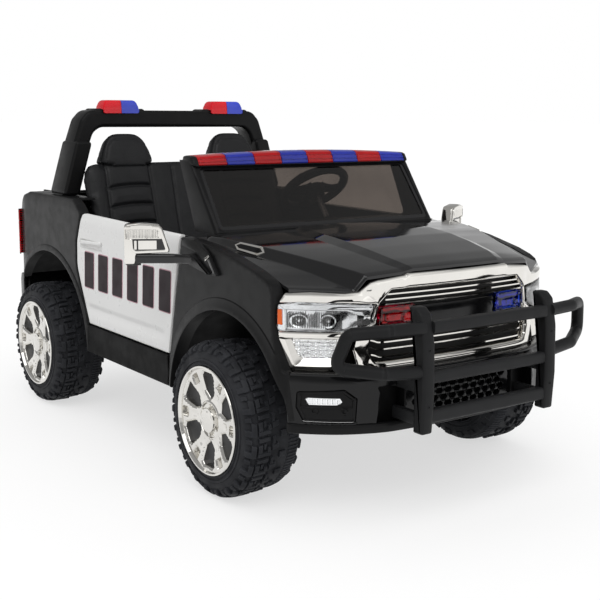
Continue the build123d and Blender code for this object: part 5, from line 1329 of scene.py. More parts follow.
face = Shape().panel(
    round_corners(both(mm(-308, 262, -311.8, 256, -310, 174)), 0.003), ahead_by(0.024), 0.0045,
    holes=[round_corners(FOG, 0.004), round_corners(FOG_LEFT, 0.004), round_corners(INTAKE, 0.003)],
    step=0.007, relief=bumper_relief,
)
face.panel(both(mm(-306, -4, -308, 20)), nose_shelf(0.2618, -1), 0.004, edge=0.001)
face.make("bumper_face", BUMPER, slot="black_plastic", replaces=["front_bumper"])
lip = Shape().panel(
    round_corners(both(mm(-312, 176, -312, 158)), 0.003), ahead_by(0.0255), 0.005,
    step=0.006, edge=0.004, relief=lambda y, z: 0.0012 * np.sin((z - 0.158) / 0.018 * math.pi),
)
lip.panel(
    both(mm(-165, -30, -185, 10, -308, 10, -310, 18)), nose_shelf(0.1582, 1), 0.004,
    step=0.012, edge=0.001,
)
lip.make("bumper_lip", BODY, slot="black_plastic")

fog = Shape()
frame_loop = round_corners(FOG, 0.004)
inner_loop = shrink(frame_loop, 0.0052)
fog.panel(
    shrink(frame_loop, 0.0006), ahead_by(0.0225), 0.008, holes=[inner_loop], step=0.004, edge=0.0022
)
SENSORS = mm(-279, 198.5, -239, 197.5)


def fog_relief(y, z):
    shelf = smooth_step(z, 0.202, 0.207)
    away = [np.hypot(y - a, z - b) for a, b in SENSORS]
    pads = sum(within(d, 0.005, 0.0062) for d in away)
    holes = sum(within(d, 0.0022, 0.003) for d in away)
    return 0.003 * (1 - shelf) + 0.0018 * pads - 0.003 * holes


fog.panel(inner_loop, ahead_by(0.0175), 0.006, step=0.0022, edge=0.0, relief=fog_relief)
pair(fog, "fog_panel", BODY, slot="black_plastic")
LED = mm(-289, 219, -285, 208.5, -248, 208.5, -240, 213.5, -244, 220.5, -286, 221)
cells, ledge = Shape(), Shape()
for k in range(7):
    y0 = -0.2878 + 0.0066 * k
    cell = rect(y0, 0.2102, y0 + 0.0052, 0.2192 if k < 6 else 0.217, 0.001)
    cells.panel(cell, ahead_by(0.0205), 0.003, step=0.002, edge=0.0012)
ledge.panel(round_corners(LED, 0.002), ahead_by(0.0192), 0.0022, step=0.004, edge=0.0008)
pair(cells, "led_cells", CLEAR, slot="lens_clear")
pair(ledge, "led_tray", SILVER)

# intake: honeycomb between two plain side walls
CELL = mm(-9.2, 0, -4.6, 5, 4.6, 5, 9.2, 0, 4.6, -5, -4.6, -5)
CELL_PITCH, CELL_RISE = 0.0205, 0.0118
honey = []
for row in range(5):
    for column in range(-6, 7):
        y = column * CELL_PITCH + (CELL_PITCH / 2 if row % 2 else 0.0)
        z = 0.1775 + row * CELL_RISE
        if abs(y) < 0.112:
            honey.append([(y + a, z + b) for a, b in CELL])
comb = Shape().panel(
    round_corners(both(mm(-123, 236, -129, 170)), 0.003), ahead_by(0.012), 0.009,
    holes=honey, step=0.006, edge=0.0012,
)
comb.make("intake_comb", BUMPER, slot="black_plastic")
box = Shape().panel(
    round_corners(both(mm(-193, 242, -193, 166)), 0.003), ahead_by(-0.004), 0.004,
    step=0.012, edge=0.0,
)
loop = resample(round_corners(INTAKE, 0.003), 0.01)
outer, inner = shrink(loop, -0.003), shrink(loop, -0.0005)
box.stack(
    ahead_by(0.0215), ((outer, 0.0), (inner, 0.0), (inner, 0.0255), (outer, 0.0255)), closed=True
)
for y in (-0.129, 0.129):
    x = nose_x(y)
    box.block((x - 0.004, y - 0.002, 0.17), (x + 0.016, y + 0.002, 0.236), 0.0008)
box.make("intake_box", DEEP, slot="black_plastic")

# bull bar of rounded square tube
UPRIGHT = round_corners(
    mm(
        677, 168, 681, 235, 678, 320, 668, 368, 655, 379, 637, 379, 647, 340, 654, 300,
        654, 168,
    ),
    [0.004, 0.05, 0.06, 0.012, 0.008, 0.004, 0.02, 0.05, 0.004],
)
BOLT = mm(2.4, -3, 2.4, 0.5, 1.6, 0.8, 1.2, -0.6)
bull = Shape()
for y in (-0.1455, 0.1455):
    bull.slab(UPRIGHT, upright(y), -0.01275, 0.01275, 0.005)
    for low, high in ((0.235, 0.257), (0.179, 0.201)):
        bull.block((0.594, y - 0.007, low), (0.6555, y + 0.007, high), 0.003)
    for x, z in ((0.68, 0.215), (0.6785, 0.31)):
        middle = Vector((x, y, z))
        bull.rings([[middle + Vector((d, p.x, p.y)) for p in circle(r, 12)] for r, d in BOLT])
for z, tall in ((0.346, 0.021), (0.262, 0.021), (0.196, 0.023)):
    section = box_section(tall, 0.0195, 0.0065, 4)
    bull.sweep(section, [Vector((0.667, y, z)) for y in (-0.134, 0.134)])
HOOP = mm(
    667, 150, 346, 659, 215, 346.5, 626, 274, 342, 613, 291, 286.5, 655, 223, 276.5,
    667, 150, 272, size=3,
)
hoop = round_corners(HOOP, [0.0, 0.03, 0.017, 0.017, 0.03, 0.0], 6, closed=False)
for sign in (-1, 1):
    path = smooth_path([Vector((p.x, p.y * sign, p.z)) for p in hoop], 2)
    bull.tube(path, 0.0112, 20)
bull.make("bull_bar_tubes", BULL, slot="black_plastic", replaces=["bull_bar"], sharp=40.0)


# ---------------------------------------------------------------- windscreen and light bar
SCREEN_BASE, SCREEN_TOP = (0.225, 0.462), (0.124, 0.597)
SCREEN_HALF = 0.272
SCREEN_RUN = math.dist(SCREEN_BASE, SCREEN_TOP)
PANE = round_corners(mm(-260, 10.5, 260, 10.5, 256.5, 152, -256.5, 152), 0.012)


def screen_place(y, s, depth):
    """Point on the slanted windscreen, at a distance up from its base and a level depth behind."""
    share = s / SCREEN_RUN
    x, z = (foot + (top - foot) * share for foot, top in zip(SCREEN_BASE, SCREEN_TOP))
    return Vector((x - depth, y, z))


def pillar_place(y, s, depth):
    """The same, with pillars that are deeper at their foot."""
    return screen_place(y, s, depth * (1.78 - 0.88 * s / SCREEN_RUN))


def pillar_relief(y, s):
    # pillars fall away a little from a soft crease beside the pane
    return -0.003 * np.clip((np.abs(y) - 0.262) / 0.01, 0.0, 1.0) ** 1.5


screen = Shape().panel(
    rect(-SCREEN_HALF, 0.0005, SCREEN_HALF, SCREEN_RUN), pillar_place, 0.0458,
    holes=[PANE], step=0.007, edge=0.004, relief=pillar_relief,
)
screen.block((0.1815, -0.27, 0.4463), (0.2235, 0.27, 0.464), 0.002)
screen.make("screen_surround", BODY, slot="black_plastic", replaces=["windscreen_frame"])
glass = Shape().panel(
    shrink(PANE, -0.0025), screen_place, 0.0095, step=0.02, edge=0.0, relief=flat_at(-0.0055)
)
glass.make("screen_pane", SMOKED, slot="smoked_glass", replaces=["windscreen_glass"])
frit = Shape().panel(
    shrink(PANE, -0.002), screen_place, 0.0052, holes=[shrink(PANE, 0.0065)], edge=0.0,
    relief=flat_at(-0.0032),
)
frit.make("screen_border", GLOSS, slot="black_plastic")

SEGMENTS, SEGMENT, LEDS = 8, 0.065, 7
BAR_FOOT, BAR_TOP, BAR_LIFT = 0.5872, 0.6104, 0.003


def bar_ring(y, profile):
    """The bar's cross-section at y: its foot is straight, and its top follows a crown."""
    lift = BAR_LIFT - 0.0075 * (y / 0.26) ** 2
    shares = [min(max((z - BAR_FOOT) / (BAR_TOP - BAR_FOOT), 0.0), 1.0) for _, z in profile]
    return [Vector((x, y, z + lift * share)) for (x, z), share in zip(profile, shares)]


def grown(profile, middle, scale):
    """A flat outline scaled about a point."""
    return [tuple(m + (v - m) * scale for v, m in zip(p, middle)) for p in profile]


LENS_PROFILE = mm(
    129, 587.2, 136.8, 587.2, 137.8, 589.5, 136.4, 593.5, 133.8, 593.8, 133.6, 595, 135.3, 595.5,
    133.5, 600.8, 130.8, 601.2, 130.6, 602.4, 131.8, 602.9, 129, 607, 124, 609.2, 115, 610.4,
    96, 610.4, 91, 609, 88, 598.5,
)
CORE_PROFILE = mm(131, 589.5, 124.5, 603, 96.5, 607, 92, 598.5)
GAP = 0.0006
segments = {"red": Shape(), "blue": Shape()}
cores, leds = Shape(), Shape()
for k in range(SEGMENTS):
    start = -SEGMENTS * SEGMENT / 2 + k * SEGMENT
    end = start + SEGMENT
    waist = [start + SEGMENT * t for t in (0.25, 0.5, 0.75)]
    tip = grown(LENS_PROFILE, (0.115, 0.5985), 0.955)
    rings = [bar_ring(y, LENS_PROFILE) for y in (start + 0.0014, *waist, end - 0.0014)]
    rings = [bar_ring(start + GAP, tip), *rings, bar_ring(end - GAP, tip)]
    segments["red" if k % 2 == 0 else "blue"].rings(rings)
    cores.rings([bar_ring(y, CORE_PROFILE) for y in (start + 0.0035, waist[1], end - 0.0035)])
    for j in range(LEDS):
        y = start + SEGMENT * (j + 0.5) / LEDS
        leds.block((0.1318, y - 0.003, 0.5892), (0.134, y + 0.003, 0.5926), 0.0005)
for colour, look in (("red", RED), ("blue", BLUE)):
    lens, stands = segments[colour], [f"light_bar_{colour}"]
    lens.make(f"light_bar_lens_{colour}", look, "root", f"lens_{colour}", stands, sharp=28.0)
cores.make("light_bar_core", WHITE, sharp=28.0)
leds.make("light_bar_leds", CLEAR, slot="lens_clear")
TRAY = mm(
    126.2, 586.2, 138, 586.2, 138.2, 587.4, 129, 587.6, 124, 597.5, 86.2, 597.5, 86.5, 596,
    118, 596,
)
CAP = mm(
    129, 586.2, 137.8, 586.6, 137.8, 590, 132, 602, 128.5, 607.2, 124, 609.2, 115, 610.4,
    96, 610.4, 90, 609, 86.2, 596.8, 118, 596.8,
)
CAP_MIDDLE = Vector((0.115, 0.0, 0.5968))
tray = Shape().rings([[Vector((x, y, z)) for x, z in TRAY] for y in (-0.26, 0.26)])
for sign in (-1, 1):
    rings = []
    for y, scale in ((0.2602, 1.0), (0.265, 1.0), (0.2695, 0.86), (0.2715, 0.6)):
        middle = Vector((CAP_MIDDLE.x, y * sign, CAP_MIDDLE.z))
        rings.append([middle + (p - middle) * scale for p in bar_ring(y * sign, CAP)])
    tray.rings(rings)
tray.make("light_bar_tray", BODY, slot="black_plastic", replaces=["light_bar_base"])

# ------------------------------------------------------------------------- roll bar
ARCH = mm(-299.5, 495.2, -265, 622, -248, 670, -227, 692)
HOLE = mm(-198, 652, -217, 640, -232.5, 600, -265.5, 495.2)
ARCH_EASE, HOLE_EASE = [0.0, 0.05, 0.03, 0.03], [0.0, 0.04, 0.03, 0.03]
arch = round_corners(
    [*both(ARCH), *both(HOLE)[len(HOLE) :], *HOLE],
    [*ARCH_EASE, *ARCH_EASE[::-1], *HOLE_EASE, *HOLE_EASE[::-1]], 5,
)
HOOP_BACK, HOOP_FRONT = -0.488, -0.424
BEACON_Y = 0.147
SLEEVE = mm(-303.5, 495.2, -267.2, 620, -226.2, 620, -263.2, 495.2)
pad_line = rect(0.0, 0.0, 0.134, 0.059, 0.006)
hoop_bar = Shape().slab(arch, upright(0.0, 0), HOOP_BACK, HOOP_FRONT, 0.0085, 4)
for sign in (-1, 1):
    sleeve = round_corners([(y * sign, z) for y, z in SLEEVE], 0.0095)
    hoop_bar.slab(sleeve, upright(0.0, 0), -0.4948, -0.4102, 0.006)
    rings = []
    for z, inset in ((0.688, 0.0), (0.692, 0.001), (0.6948, 0.0045), (0.6958, 0.0085)):
        y0 = sign * BEACON_Y - 0.067
        rings.append([Vector((-0.4845 + p.y, y0 + p.x, z)) for p in shrink(pad_line, inset)])
    hoop_bar.rings(rings)
hoop_bar.make(
    "roll_hoop", BODY, slot="body_satin", replaces=["roll_bar", "beacon_bases"], sharp=38.0
)

BEACON_X, BEACON_FRONT = -0.4415, -0.4185
# height, inset of the sides and slant of the end
BEACON_LEVELS = [
    (0.694, 0.0, 0.0), (0.7, 0.0003, 0.0008), (0.7095, 0.002, 0.005), (0.714, 0.0045, 0.0085),
    (0.7156, 0.008, 0.0125),
]
BEACON_CORE = [(0.6942, 0.015, 0.038), (0.7075, 0.012, 0.034), (0.7105, 0.008, 0.029)]
LIP = mm(0.5, 685, 42.5, 685, 45.5, 687, 46.5, 695, 0.5, 695)
beacon = {"red": Shape(), "blue": Shape()}
beacon_core = Shape()
for middle in (-BEACON_Y, BEACON_Y):
    for colour, way in (("red", -1), ("blue", 1)):

        def beacon_place(x, y, z):
            return Vector((BEACON_X + x, middle + way * y, z))

        lens = []
        for z, inset, slant in BEACON_LEVELS:
            x, y = 0.0225 - inset, 0.047 - slant
            corners = [(-x, 0.0005), (x, 0.0005), (x, y), (-x, y)]
            lens.append((round_corners(corners, [0.0, 0.0, 0.006, 0.006], 3), z))
        beacon[colour].stack(beacon_place, lens)
        # the lens hangs down over the bar's front
        beacon[colour].prism(
            [(way * u, v) for u, v in LIP],
            lambda u, v, d: Vector((BEACON_FRONT - d, middle + u, v)), 0.0, 0.0048, 0.0012,
        )
        beacon_core.stack(beacon_place, [(rect(-x, 0.003, x, y), z) for z, x, y in BEACON_CORE])
for colour, look in (("red", BEACON_RED), ("blue", BEACON_BLUE)):
    lens, stands = beacon[colour], [f"beacons_{colour}"]
    lens.make(f"beacon_lens_{colour}", look, "root", f"lens_{colour}", stands, sharp=26.0)
beacon_core.make("beacon_core", WHITE, sharp=26.0)

# -------------------------------------------------------------------------- mirrors
FACE_IN, FACE_OUT = Vector((0.192, -0.35)), Vector((0.15, -0.4285))
FACE_WAY = (FACE_OUT - FACE_IN).normalized()
FACE_NORMAL = Vector((-FACE_WAY.y, FACE_WAY.x))


def mirror_face(along, z, depth):
    """Point on the head's forward face, at a distance from its inner end."""
    spot = FACE_IN + FACE_WAY * along - FACE_NORMAL * depth
    return Vector((spot.x, spot.y, z))


HEAD = mm(
    88.5, 410, 88.5, 480.5, 84, 484.5, 60, 487.2, 24.5, 483.8, 18.5, 477.3, 5, 437.2, 5.6, 431.5,
    65.5, 429, 67.2, 410,
)
FRAME = mm(
    86.8, 481.8, 60, 485.2, 25.2, 482, 20, 476.3, 6.8, 437.2, 7.6, 432.7, 70.5, 430.6, 76.2, 437,
    77.5, 456.5, 86.8, 457.2,
)
FRAME_HOLE = mm(
    86.2, 475.2, 29, 475.2, 23.2, 470.5, 12.8, 437.8, 67.5, 436.2, 72.2, 440, 73.2, 458,
    86.2, 458.8,
)
head_line = round_corners(
    HEAD, [0.006, 0.006, 0.01, 0.02, 0.008, 0.008, 0.006, 0.006, 0.0, 0.006]
)
frame_line = round_corners(
    FRAME, [0.003, 0.02, 0.008, 0.006, 0.003, 0.003, 0.004, 0.004, 0.001, 0.001]
)
frame_hole = round_corners(FRAME_HOLE, [0.001, 0.005, 0.006, 0.002, 0.003, 0.003, 0.001, 0.001])
mirror_head = Shape().slab(head_line, mirror_face, 0.0, 0.025, 0.0042, 4)
mirror_head.panel(
    frame_line, raised(mirror_face, 0.0024), 0.003, holes=[frame_hole], step=0.004, edge=0.0007
)
pair(mirror_head, "mirror_shell", CHROME, slot="chrome", replaces=["mirror_head"], sharp=34.0)
recess = Shape().panel(
    mm(74.5, 457.5, 19, 457.5, 12, 437, 73.5, 435), raised(mirror_face, 0.0004), 0.0014,
    step=0.02, edge=0.0,
)
pair(recess, "mirror_recess", GLOSS)
PLEAT = 0.0029
plate = Shape()
for a0, a1 in ((0.029, 0.0625), (0.0655, 0.07)):
    window = rect(a0, 0.4382, a1, 0.4545, 0.001)
    plate.panel(window, raised(mirror_face, 0.0018), 0.0024, step=0.004, edge=0.0)
plate.panel(
    mm(24.5, 459.2, 86.2, 459.2, 86.2, 475, 28.5, 475), raised(mirror_face, 0.0006), 0.0016,
    step=0.0008, edge=0.0, relief=lambda a, z: 0.0009 * np.abs(np.cos(a / PLEAT * math.pi)),
)
pair(plate, "mirror_plate", CHROME, slot="chrome", sharp=24.0)
FIN = mm(-0.4, -0.6, 0.4, -0.6, 0.4, -1.3, -0.4, -1.3)
fins = Shape()
for k in range(21):
    a = 0.0265 + PLEAT * k
    fins.rings([[mirror_face(a + along, z, d) for along, d in FIN] for z in (0.46, 0.4742)])
pair(fins, "mirror_lamp_ribs", GREY)

ARM = mm(
    240, -322.5, 180, -344, 141.5, -401, 148, -412.5, 162.2, -410.5, 200, -350, 218, -340,
    270, -322.5,
)
arm_line = round_corners(ARM, [0.0, 0.02, 0.008, 0.008, 0.009, 0.02, 0.03, 0.0], 4)
arm = Shape().slab(arm_line, upright(0.0, 2), 0.4118, 0.4296, 0.005)
arm.slab(
    round_corners(mm(58, 1, 86, 3, 86, 22, 58, 22), 0.004),
    lambda a, d, z: mirror_face(a, z, d), 0.4082, 0.4112, 0.001, 2,
)
pair(arm, "mirror_bracket", GLOSS, slot="black_plastic", replaces=["mirror_arm"], sharp=38.0)
SAIL = mm(
    190, 443, 189.5, 454, 236, 460, 278, 441.5, 316.6, 401.5, 303, 399.5, 264, 419, 234, 437
)
sail_place = upright(0.0)
SAIL_IN, SAIL_OUT = -0.3222, -0.3292
sail = Shape().prism(
    round_corners(SAIL, [0.003, 0.005, 0.006, 0.01, 0.004, 0.004, 0.01, 0.01]),
    sail_place, SAIL_IN, SAIL_OUT, 0.0022,
)
# the root of the arm runs down along the sail
root_line = round_corners(
    mm(215, 430, 238, 434, 266, 417, 304, 399, 256, 405.5, 215, 412.5), 0.003
)
sail.prism(root_line, sail_place, SAIL_IN, -0.3345, 0.003)
pair(sail, "mirror_sail", BLACK, slot="black_plastic", sharp=38.0)
inlay_line = round_corners(mm(278.5, 433, 290, 430, 310.5, 405, 300, 404.5), 0.002)
inlay = Shape().prism(inlay_line, sail_place, -0.3291, -0.33, 0.0006)
pair(inlay, "sail_inlay", GLOSS)
chip_line = mm(274, 429, 287.5, 436, 290.5, 433.5, 276.5, 423.5)
chip = Shape().prism(chip_line, sail_place, -0.3291, -0.3303, 0.0006)
pair(chip, "sail_chip", CHROME, slot="chrome", sharp=20.0)


# plain hexagonal plaque on the band beside the hood
def band_place(x, share, depth):
    upper, lower = (Vector([np.interp(x, HOOD_KEYS, v) for v in HOOD_LINES[k]]) for k in (3, 4))
    run = lower - upper
    out = Vector((-run.y, run.x)).normalized()
    spot = upper + run * share + out * (0.0018 - depth)
    return Vector((x, -spot.x, spot.y))


def plaque(inset):
    ends = (0.311 + inset, 0.379 - inset)
    sides = (0.3205 + inset * 0.6, 0.3695 - inset * 0.6)
    low, high = 0.06 + inset * 45, 0.94 - inset * 45
    tips = [(ends[1], 0.5), (ends[0], 0.5)]
    return [
        tips[0], (sides[1], low), (sides[0], low), tips[1], (sides[0], high), (sides[1], high)
    ]


rim_plate = Shape().panel(plaque(0.0), band_place, 0.0022, step=0.01, edge=0.0)
pair(rim_plate, "plaque_rim", CHROME, slot="chrome")
blank = Shape().panel(plaque(0.0042), raised(band_place, 0.0006), 0.0026, step=0.01, edge=0.0)
pair(blank, "plaque_blank", BLACK, slot="black_plastic")


# ---------------------------------------------------------------------- padded pieces
def baked(piece):
    """Replaces a piece's mesh by what its modifiers make of it."""
    graph = bpy.context.evaluated_depsgraph_get()
    mesh = bpy.data.meshes.new_from_object(piece.evaluated_get(graph), depsgraph=graph)
    piece.modifiers.clear()
    piece.data = mesh
    return mesh


def vectors(items, attribute):
    flat = np.empty(len(items) * 3)
    items.foreach_get(attribute, flat)
    return flat.reshape(-1, 3)


def coordinates(mesh):
    return vectors(mesh.vertices, "co")


def normals_of(mesh):
    return vectors(mesh.vertex_normals, "vector")


PRESSURE, FRAMES = 4.0, 20
STIFFNESS, SHEAR, CLOTH_MASS = 12.0, 6.0, 0.2


def bulge(piece, rest, held, outward):
    """How far each point moves outwards when the piece is blown up as cloth."""
    group = piece.vertex_groups.new(name="held")
    group.add([int(i) for i in np.flatnonzero(held)], 1.0, "REPLACE")
    cloth = piece.modifiers.new("cloth", "CLOTH")
    settings = cloth.settings
    settings.quality, settings.mass = 5, CLOTH_MASS
    settings.tension_stiffness = settings.compression_stiffness = STIFFNESS
    settings.shear_stiffness, settings.bending_stiffness = SHEAR, 1.0
    settings.use_pressure, settings.uniform_pressure_force = True, PRESSURE
    settings.effector_weights.gravity = 0.0
    settings.vertex_group_mass = "held"
    cloth.collision_settings.use_collision = False
    cloth.point_cache.frame_start, cloth.point_cache.frame_end = 1, FRAMES
    for moment in range(1, FRAMES + 1):
        bpy.context.scene.frame_set(moment)
    graph = bpy.context.evaluated_depsgraph_get()
    blown = coordinates(piece.evaluated_get(graph).data)
    piece.modifiers.clear()
    piece.vertex_groups.clear()
    bpy.context.scene.frame_set(1)
    return np.sum((blown - rest) * outward, axis=1)


def inflated(shape, name, voxel, cap, foot):
    """A closed pad, remeshed and filled out up to a cap. Points below the foot's height stay."""
    piece = bpy.data.objects.new(name, shape.mesh(name))
    bpy.context.scene.collection.objects.link(piece)
    remesh = piece.modifiers.new("remesh", "REMESH")
    remesh.mode, remesh.voxel_size = "VOXEL", voxel
    mesh = baked(piece)
    rest = coordinates(mesh)
    held = rest[:, 2] < foot
    outward = normals_of(mesh) * (~held)[:, None]
    away = bulge(piece, rest, held, outward)
    # the cover keeps its outline at the edges, and is fullest where the cloth bulged most
    rise = 0.45 * cap + 0.55 * np.clip(away, -0.25 * cap, cap)
    mesh.vertices.foreach_set("co", (rest + outward * rise[:, None]).ravel())
    mesh.update()
    smooth = piece.modifiers.new("smooth", "SMOOTH")
    smooth.factor, smooth.iterations = 0.5, 4
    finer = piece.modifiers.new("level", "SUBSURF")
    finer.levels = finer.render_levels = 1
    baked(piece)
    return piece


def sculpt(piece, move):
    """Moves a piece's points by move(points, normals)."""
    points, normals = coordinates(piece.data), normals_of(piece.data)
    piece.data.vertices.foreach_set("co", (points + move(points, normals)).ravel())
    piece.data.update()


def facing_share(along, start):
    """0 to 1 as a face turns towards a direction, from the cosine with it."""
    return np.clip((along - start) / 0.5, 0.0, 1.0)


def seams(flat, lines, depth, width, puff, spread):
    """Height over a padded face: sewn channels along lines, and fullness between them."""
    away = distance_to(flat, lines, closed=False)
    return puff * (1 - ridge(away, spread)) - depth * ridge(away, width)


def welt(along):
    """Depth of the groove beside the piping, where faces turn away."""
    return -0.003 * ridge(np.abs(along) - 0.3, 0.1)


def pad(piece, node):
    dress(piece, HIDE, "root", [node], 0.0)


BACK_LOW, BACK_LEAN = Vector((-0.293, 0.308)), -0.376  # foot of the seat back's face, and x over z
BACK_UP = Vector((BACK_LEAN, 1.0)).normalized()
BACK_OUT = np.array([BACK_UP.y, 0.0, -BACK_UP.x])
BACK_ENDS, BACK_TOPS = [0.0, 0.205, 0.24, 0.254, 0.26], [0.571, 0.57, 0.568, 0.562, 0.548]


def back_profile(y):
    top = float(np.interp(abs(y), BACK_ENDS, BACK_TOPS))
    front = lambda z: -0.293 + BACK_LEAN * (z - 0.308)
    rear = lambda z: -0.322 - 0.563 * (z - 0.34)
    line = [
        (front(0.31), 0.31), (front(top), top), (front(top) - 0.022, top),
        (rear(top - 0.02), top - 0.02), (rear(0.345), 0.345), (-0.297, 0.31),
    ]
    # the outer ends stay in front of the roll bar's sleeves
    back = float(np.interp(abs(y), [0.224, 0.233], [-0.5, -0.3985]))
    return [(max(x, back), z) for x, z in shrink(line, 0.0045)]


def lofted(profile, half):
    """Closed form from profiles at stops along Y, narrowed at each end: half lists the stops
    and insets from the right end to the middle."""
    stops = [*half, *((-y, inset) for y, inset in reversed(half) if y)]
    rings = [[Vector((p.x, y, p.y)) for p in shrink(profile(y), inset)] for y, inset in stops]
    return Shape().rings(rings)


back_stops = [
    (-0.26, 0.006), (-0.256, 0.002), (-0.247, 0.0), (-0.231, 0.0), (-0.205, 0.0), (-0.1, 0.0),
    (0.0, 0.0),
]
seat_back = inflated(lofted(back_profile, back_stops), "seat_back_pad", 0.005, 0.0085, 0.318)

BACK_SEAMS = []
TUFT = mm(215, -6, 190, -1, 155, 2, 125, 2, 98.5, 0)
for sign in (-1, 1):
    for low, waist, high in ((0.218, 0.215, 0.206), (0.1, 0.098, 0.094), (0.044, 0.04, 0.03)):
        BACK_SEAMS.append([(sign * low, -0.02), (sign * waist, 0.15), (sign * high, 0.3)])
    for s in (0.085, 0.13, 0.175, 0.221):
        BACK_SEAMS.append([(sign * a, s + b) for a, b in TUFT])


def back_move(points, normals):
    along = normals @ BACK_OUT
    run = (points[:, 0] - BACK_LOW.x) * BACK_UP.x + (points[:, 2] - BACK_LOW.y) * BACK_UP.y
    rise = seams(np.stack([points[:, 1], run], -1), BACK_SEAMS, 0.0058, 0.0042, 0.003, 0.02)
    across = np.abs(points[:, 1])
    bolster = 0.006 * smooth_step(across, 0.214, 0.232)
    middle = -0.003 * within(across, 0.03, 0.042)
    face = (facing_share(along, 0.25) * (rise + bolster + middle))[:, None]
    return BACK_OUT * face + normals * welt(along)[:, None]


sculpt(seat_back, back_move)
pad(seat_back, "seat_back")
foot = Shape().block((-0.3075, -0.1825, 0.2415), (-0.264, 0.1825, 0.317), 0.004)
foot.make("seat_back_foot", BLACK, slot="black_plastic")


def cushion_profile(_):
    return mm(
        -253, 243.5, -80, 243.5, -76, 270, -80, 293, -92, 299, -248, 286, -255, 265
    )


cushion_stops = [
    (-0.242, 0.008), (-0.239, 0.003), (-0.233, 0.0), (-0.2, 0.0), (-0.1, 0.0), (0.0, 0.0)
]
cushion = lofted(cushion_profile, cushion_stops)
seat_cushion = inflated(cushion, "seat_cushion_pad", 0.005, 0.009, 0.247)
CUSHION_SEAMS = []
for sign in (-1, 1):
    CUSHION_SEAMS += [[(sign * y, -0.3), (sign * y, -0.05)] for y in (0.212, 0.042)]
    for x in (-0.215, -0.175, -0.135, -0.1):
        CUSHION_SEAMS.append([(sign * 0.212, x), (sign * 0.127, x + 0.003), (sign * 0.042, x)])


def cushion_move(points, normals):
    x, y, z = points.T
    rise = seams(np.stack([y, x], -1), CUSHION_SEAMS, 0.0055, 0.0042, 0.0032, 0.018)
    middle = -0.004 * within(np.abs(y), 0.032, 0.044)
    face = facing_share(normals[:, 2], 0.15) * (rise + middle)
    groove = welt(normals[:, 2]) * (z > 0.262)
    # the sides draw in between the corners
    side = smooth_step(np.abs(y), 0.22, 0.245) * np.clip(1 - ((x + 0.165) / 0.085) ** 2, 0.0, 1.0)
    pull = np.stack([0 * side, -np.sign(y) * 0.005 * side, 0 * side], -1)
    return np.array([0, 0, 1.0]) * face[:, None] + normals * groove[:, None] + pull


sculpt(seat_cushion, cushion_move)
pad(seat_cushion, "seat_cushion")

REST_ENDS = [0.0, 0.022, 0.035, 0.046, 0.056, 0.064]
REST_TOPS = [0.6325, 0.6322, 0.6285, 0.618, 0.5985, 0.575]
REST_Y = 0.147


def headrest_profile(y):
    away = abs(y)
    top = float(np.interp(away, REST_ENDS, REST_TOPS))
    low = 0.56 + 0.009 * (away / 0.0625) ** 2
    front = lambda z: -0.384 - 0.314 * (z - 0.5663)
    return [
        (front(low), low), (front(top), top), (front(top) - 0.01, top + 0.0025),
        (min(front(top) - 0.014, -0.429), top - 0.004), (-0.424, low),
    ]


rest_stops = [
    (-0.064, 0.006), (-0.058, 0.001), (-0.0465, 0.0), (-0.033, 0.0), (-0.02, 0.0), (0.0, 0.0)
]
right_rest = inflated(lofted(headrest_profile, rest_stops), "headrest_right", 0.004, 0.007, 0.56)
REST_SEAM = mm(-56, 580, -47, 608, -32, 623, 0, 627, 32, 623, 47, 608, 56, 580)


def headrest_move(points, normals):
    away = distance_to(points[:, 1:], [REST_SEAM], closed=False)
    face = facing_share(np.abs(normals[:, 0]), 0.25)
    return -normals * (face * 0.0022 * ridge(away, 0.0022))[:, None]


sculpt(right_rest, headrest_move)
points = coordinates(right_rest.data)
left_mesh = right_rest.data.copy()
points[:, 1] -= REST_Y
right_rest.data.vertices.foreach_set("co", points.ravel())
left_mesh.vertices.foreach_set("co", (points * np.array([1.0, -1.0, 1.0])).ravel())
left_mesh.flip_normals()
left_rest = bpy.data.objects.new("headrest_left", left_mesh)
for piece in (right_rest, left_rest):
    piece.data.update()
    pad(piece, "headrests")

# --------------------------------------------------------------- dashboard and steering
DASH_TOP, DASH_LOW = Vector((0.085, 0.43)), Vector((0.105, 0.352))
DASH_RUN = (DASH_LOW - DASH_TOP).length
DASH_OUT = Vector((-(DASH_TOP.y - DASH_LOW.y), DASH_TOP.x - DASH_LOW.x)).normalized()


def dash_place(y, drop, depth):
    """Point on the dashboard's face, down from its top edge."""
    spot = DASH_TOP.lerp(DASH_LOW, drop / DASH_RUN) - DASH_OUT * depth
    return Vector((spot.x, y, spot.y))


DASH = mm(
    224, 445.5, 105, 445.5, 85, 430, 105, 352.5, 110, 352.5, 92, 427, 108, 440.5, 224, 440.5
)
dash_line = round_corners(DASH, [0.0, 0.02, 0.008, 0.002, 0.002, 0.005, 0.008, 0.0])
dash_end = shrink(dash_line, 0.0008)
ends = ((dash_end, -0.2994), (dash_line, -0.2985), (dash_line, 0.2985), (dash_end, 0.2994))
dash = Shape().stack(upright(0.0), ends)
# binnacle hood over the gauges, trim strip and glovebox lid
brow = [(0.136 + 0.046 * math.cos(t), 0.0128 * math.sin(t)) for t in angles(40)[:21]]
scales = ((0.096, 0.9), (0.1, 1.0), (0.145, 0.9), (0.165, 0.5), (0.172, 0.1))
dash.rings([[Vector((x, y, 0.444 + z * scale)) for y, z in brow] for x, scale in scales])
dash.panel(
    rect(-0.28, 0.013, -0.065, 0.07, 0.006), raised(dash_place, 0.0018), 0.0022,
    step=0.012, edge=0.0012,
)
dash.panel(
    round_corners(mm(-50, 6, 50, 6, 44, 76, -44, 76), 0.006), raised(dash_place, 0.005), 0.0055,
    edge=0.0022,
)
dash.make("dash_shell", BLACK, slot="black_plastic", replaces=["dashboard"], sharp=38.0)

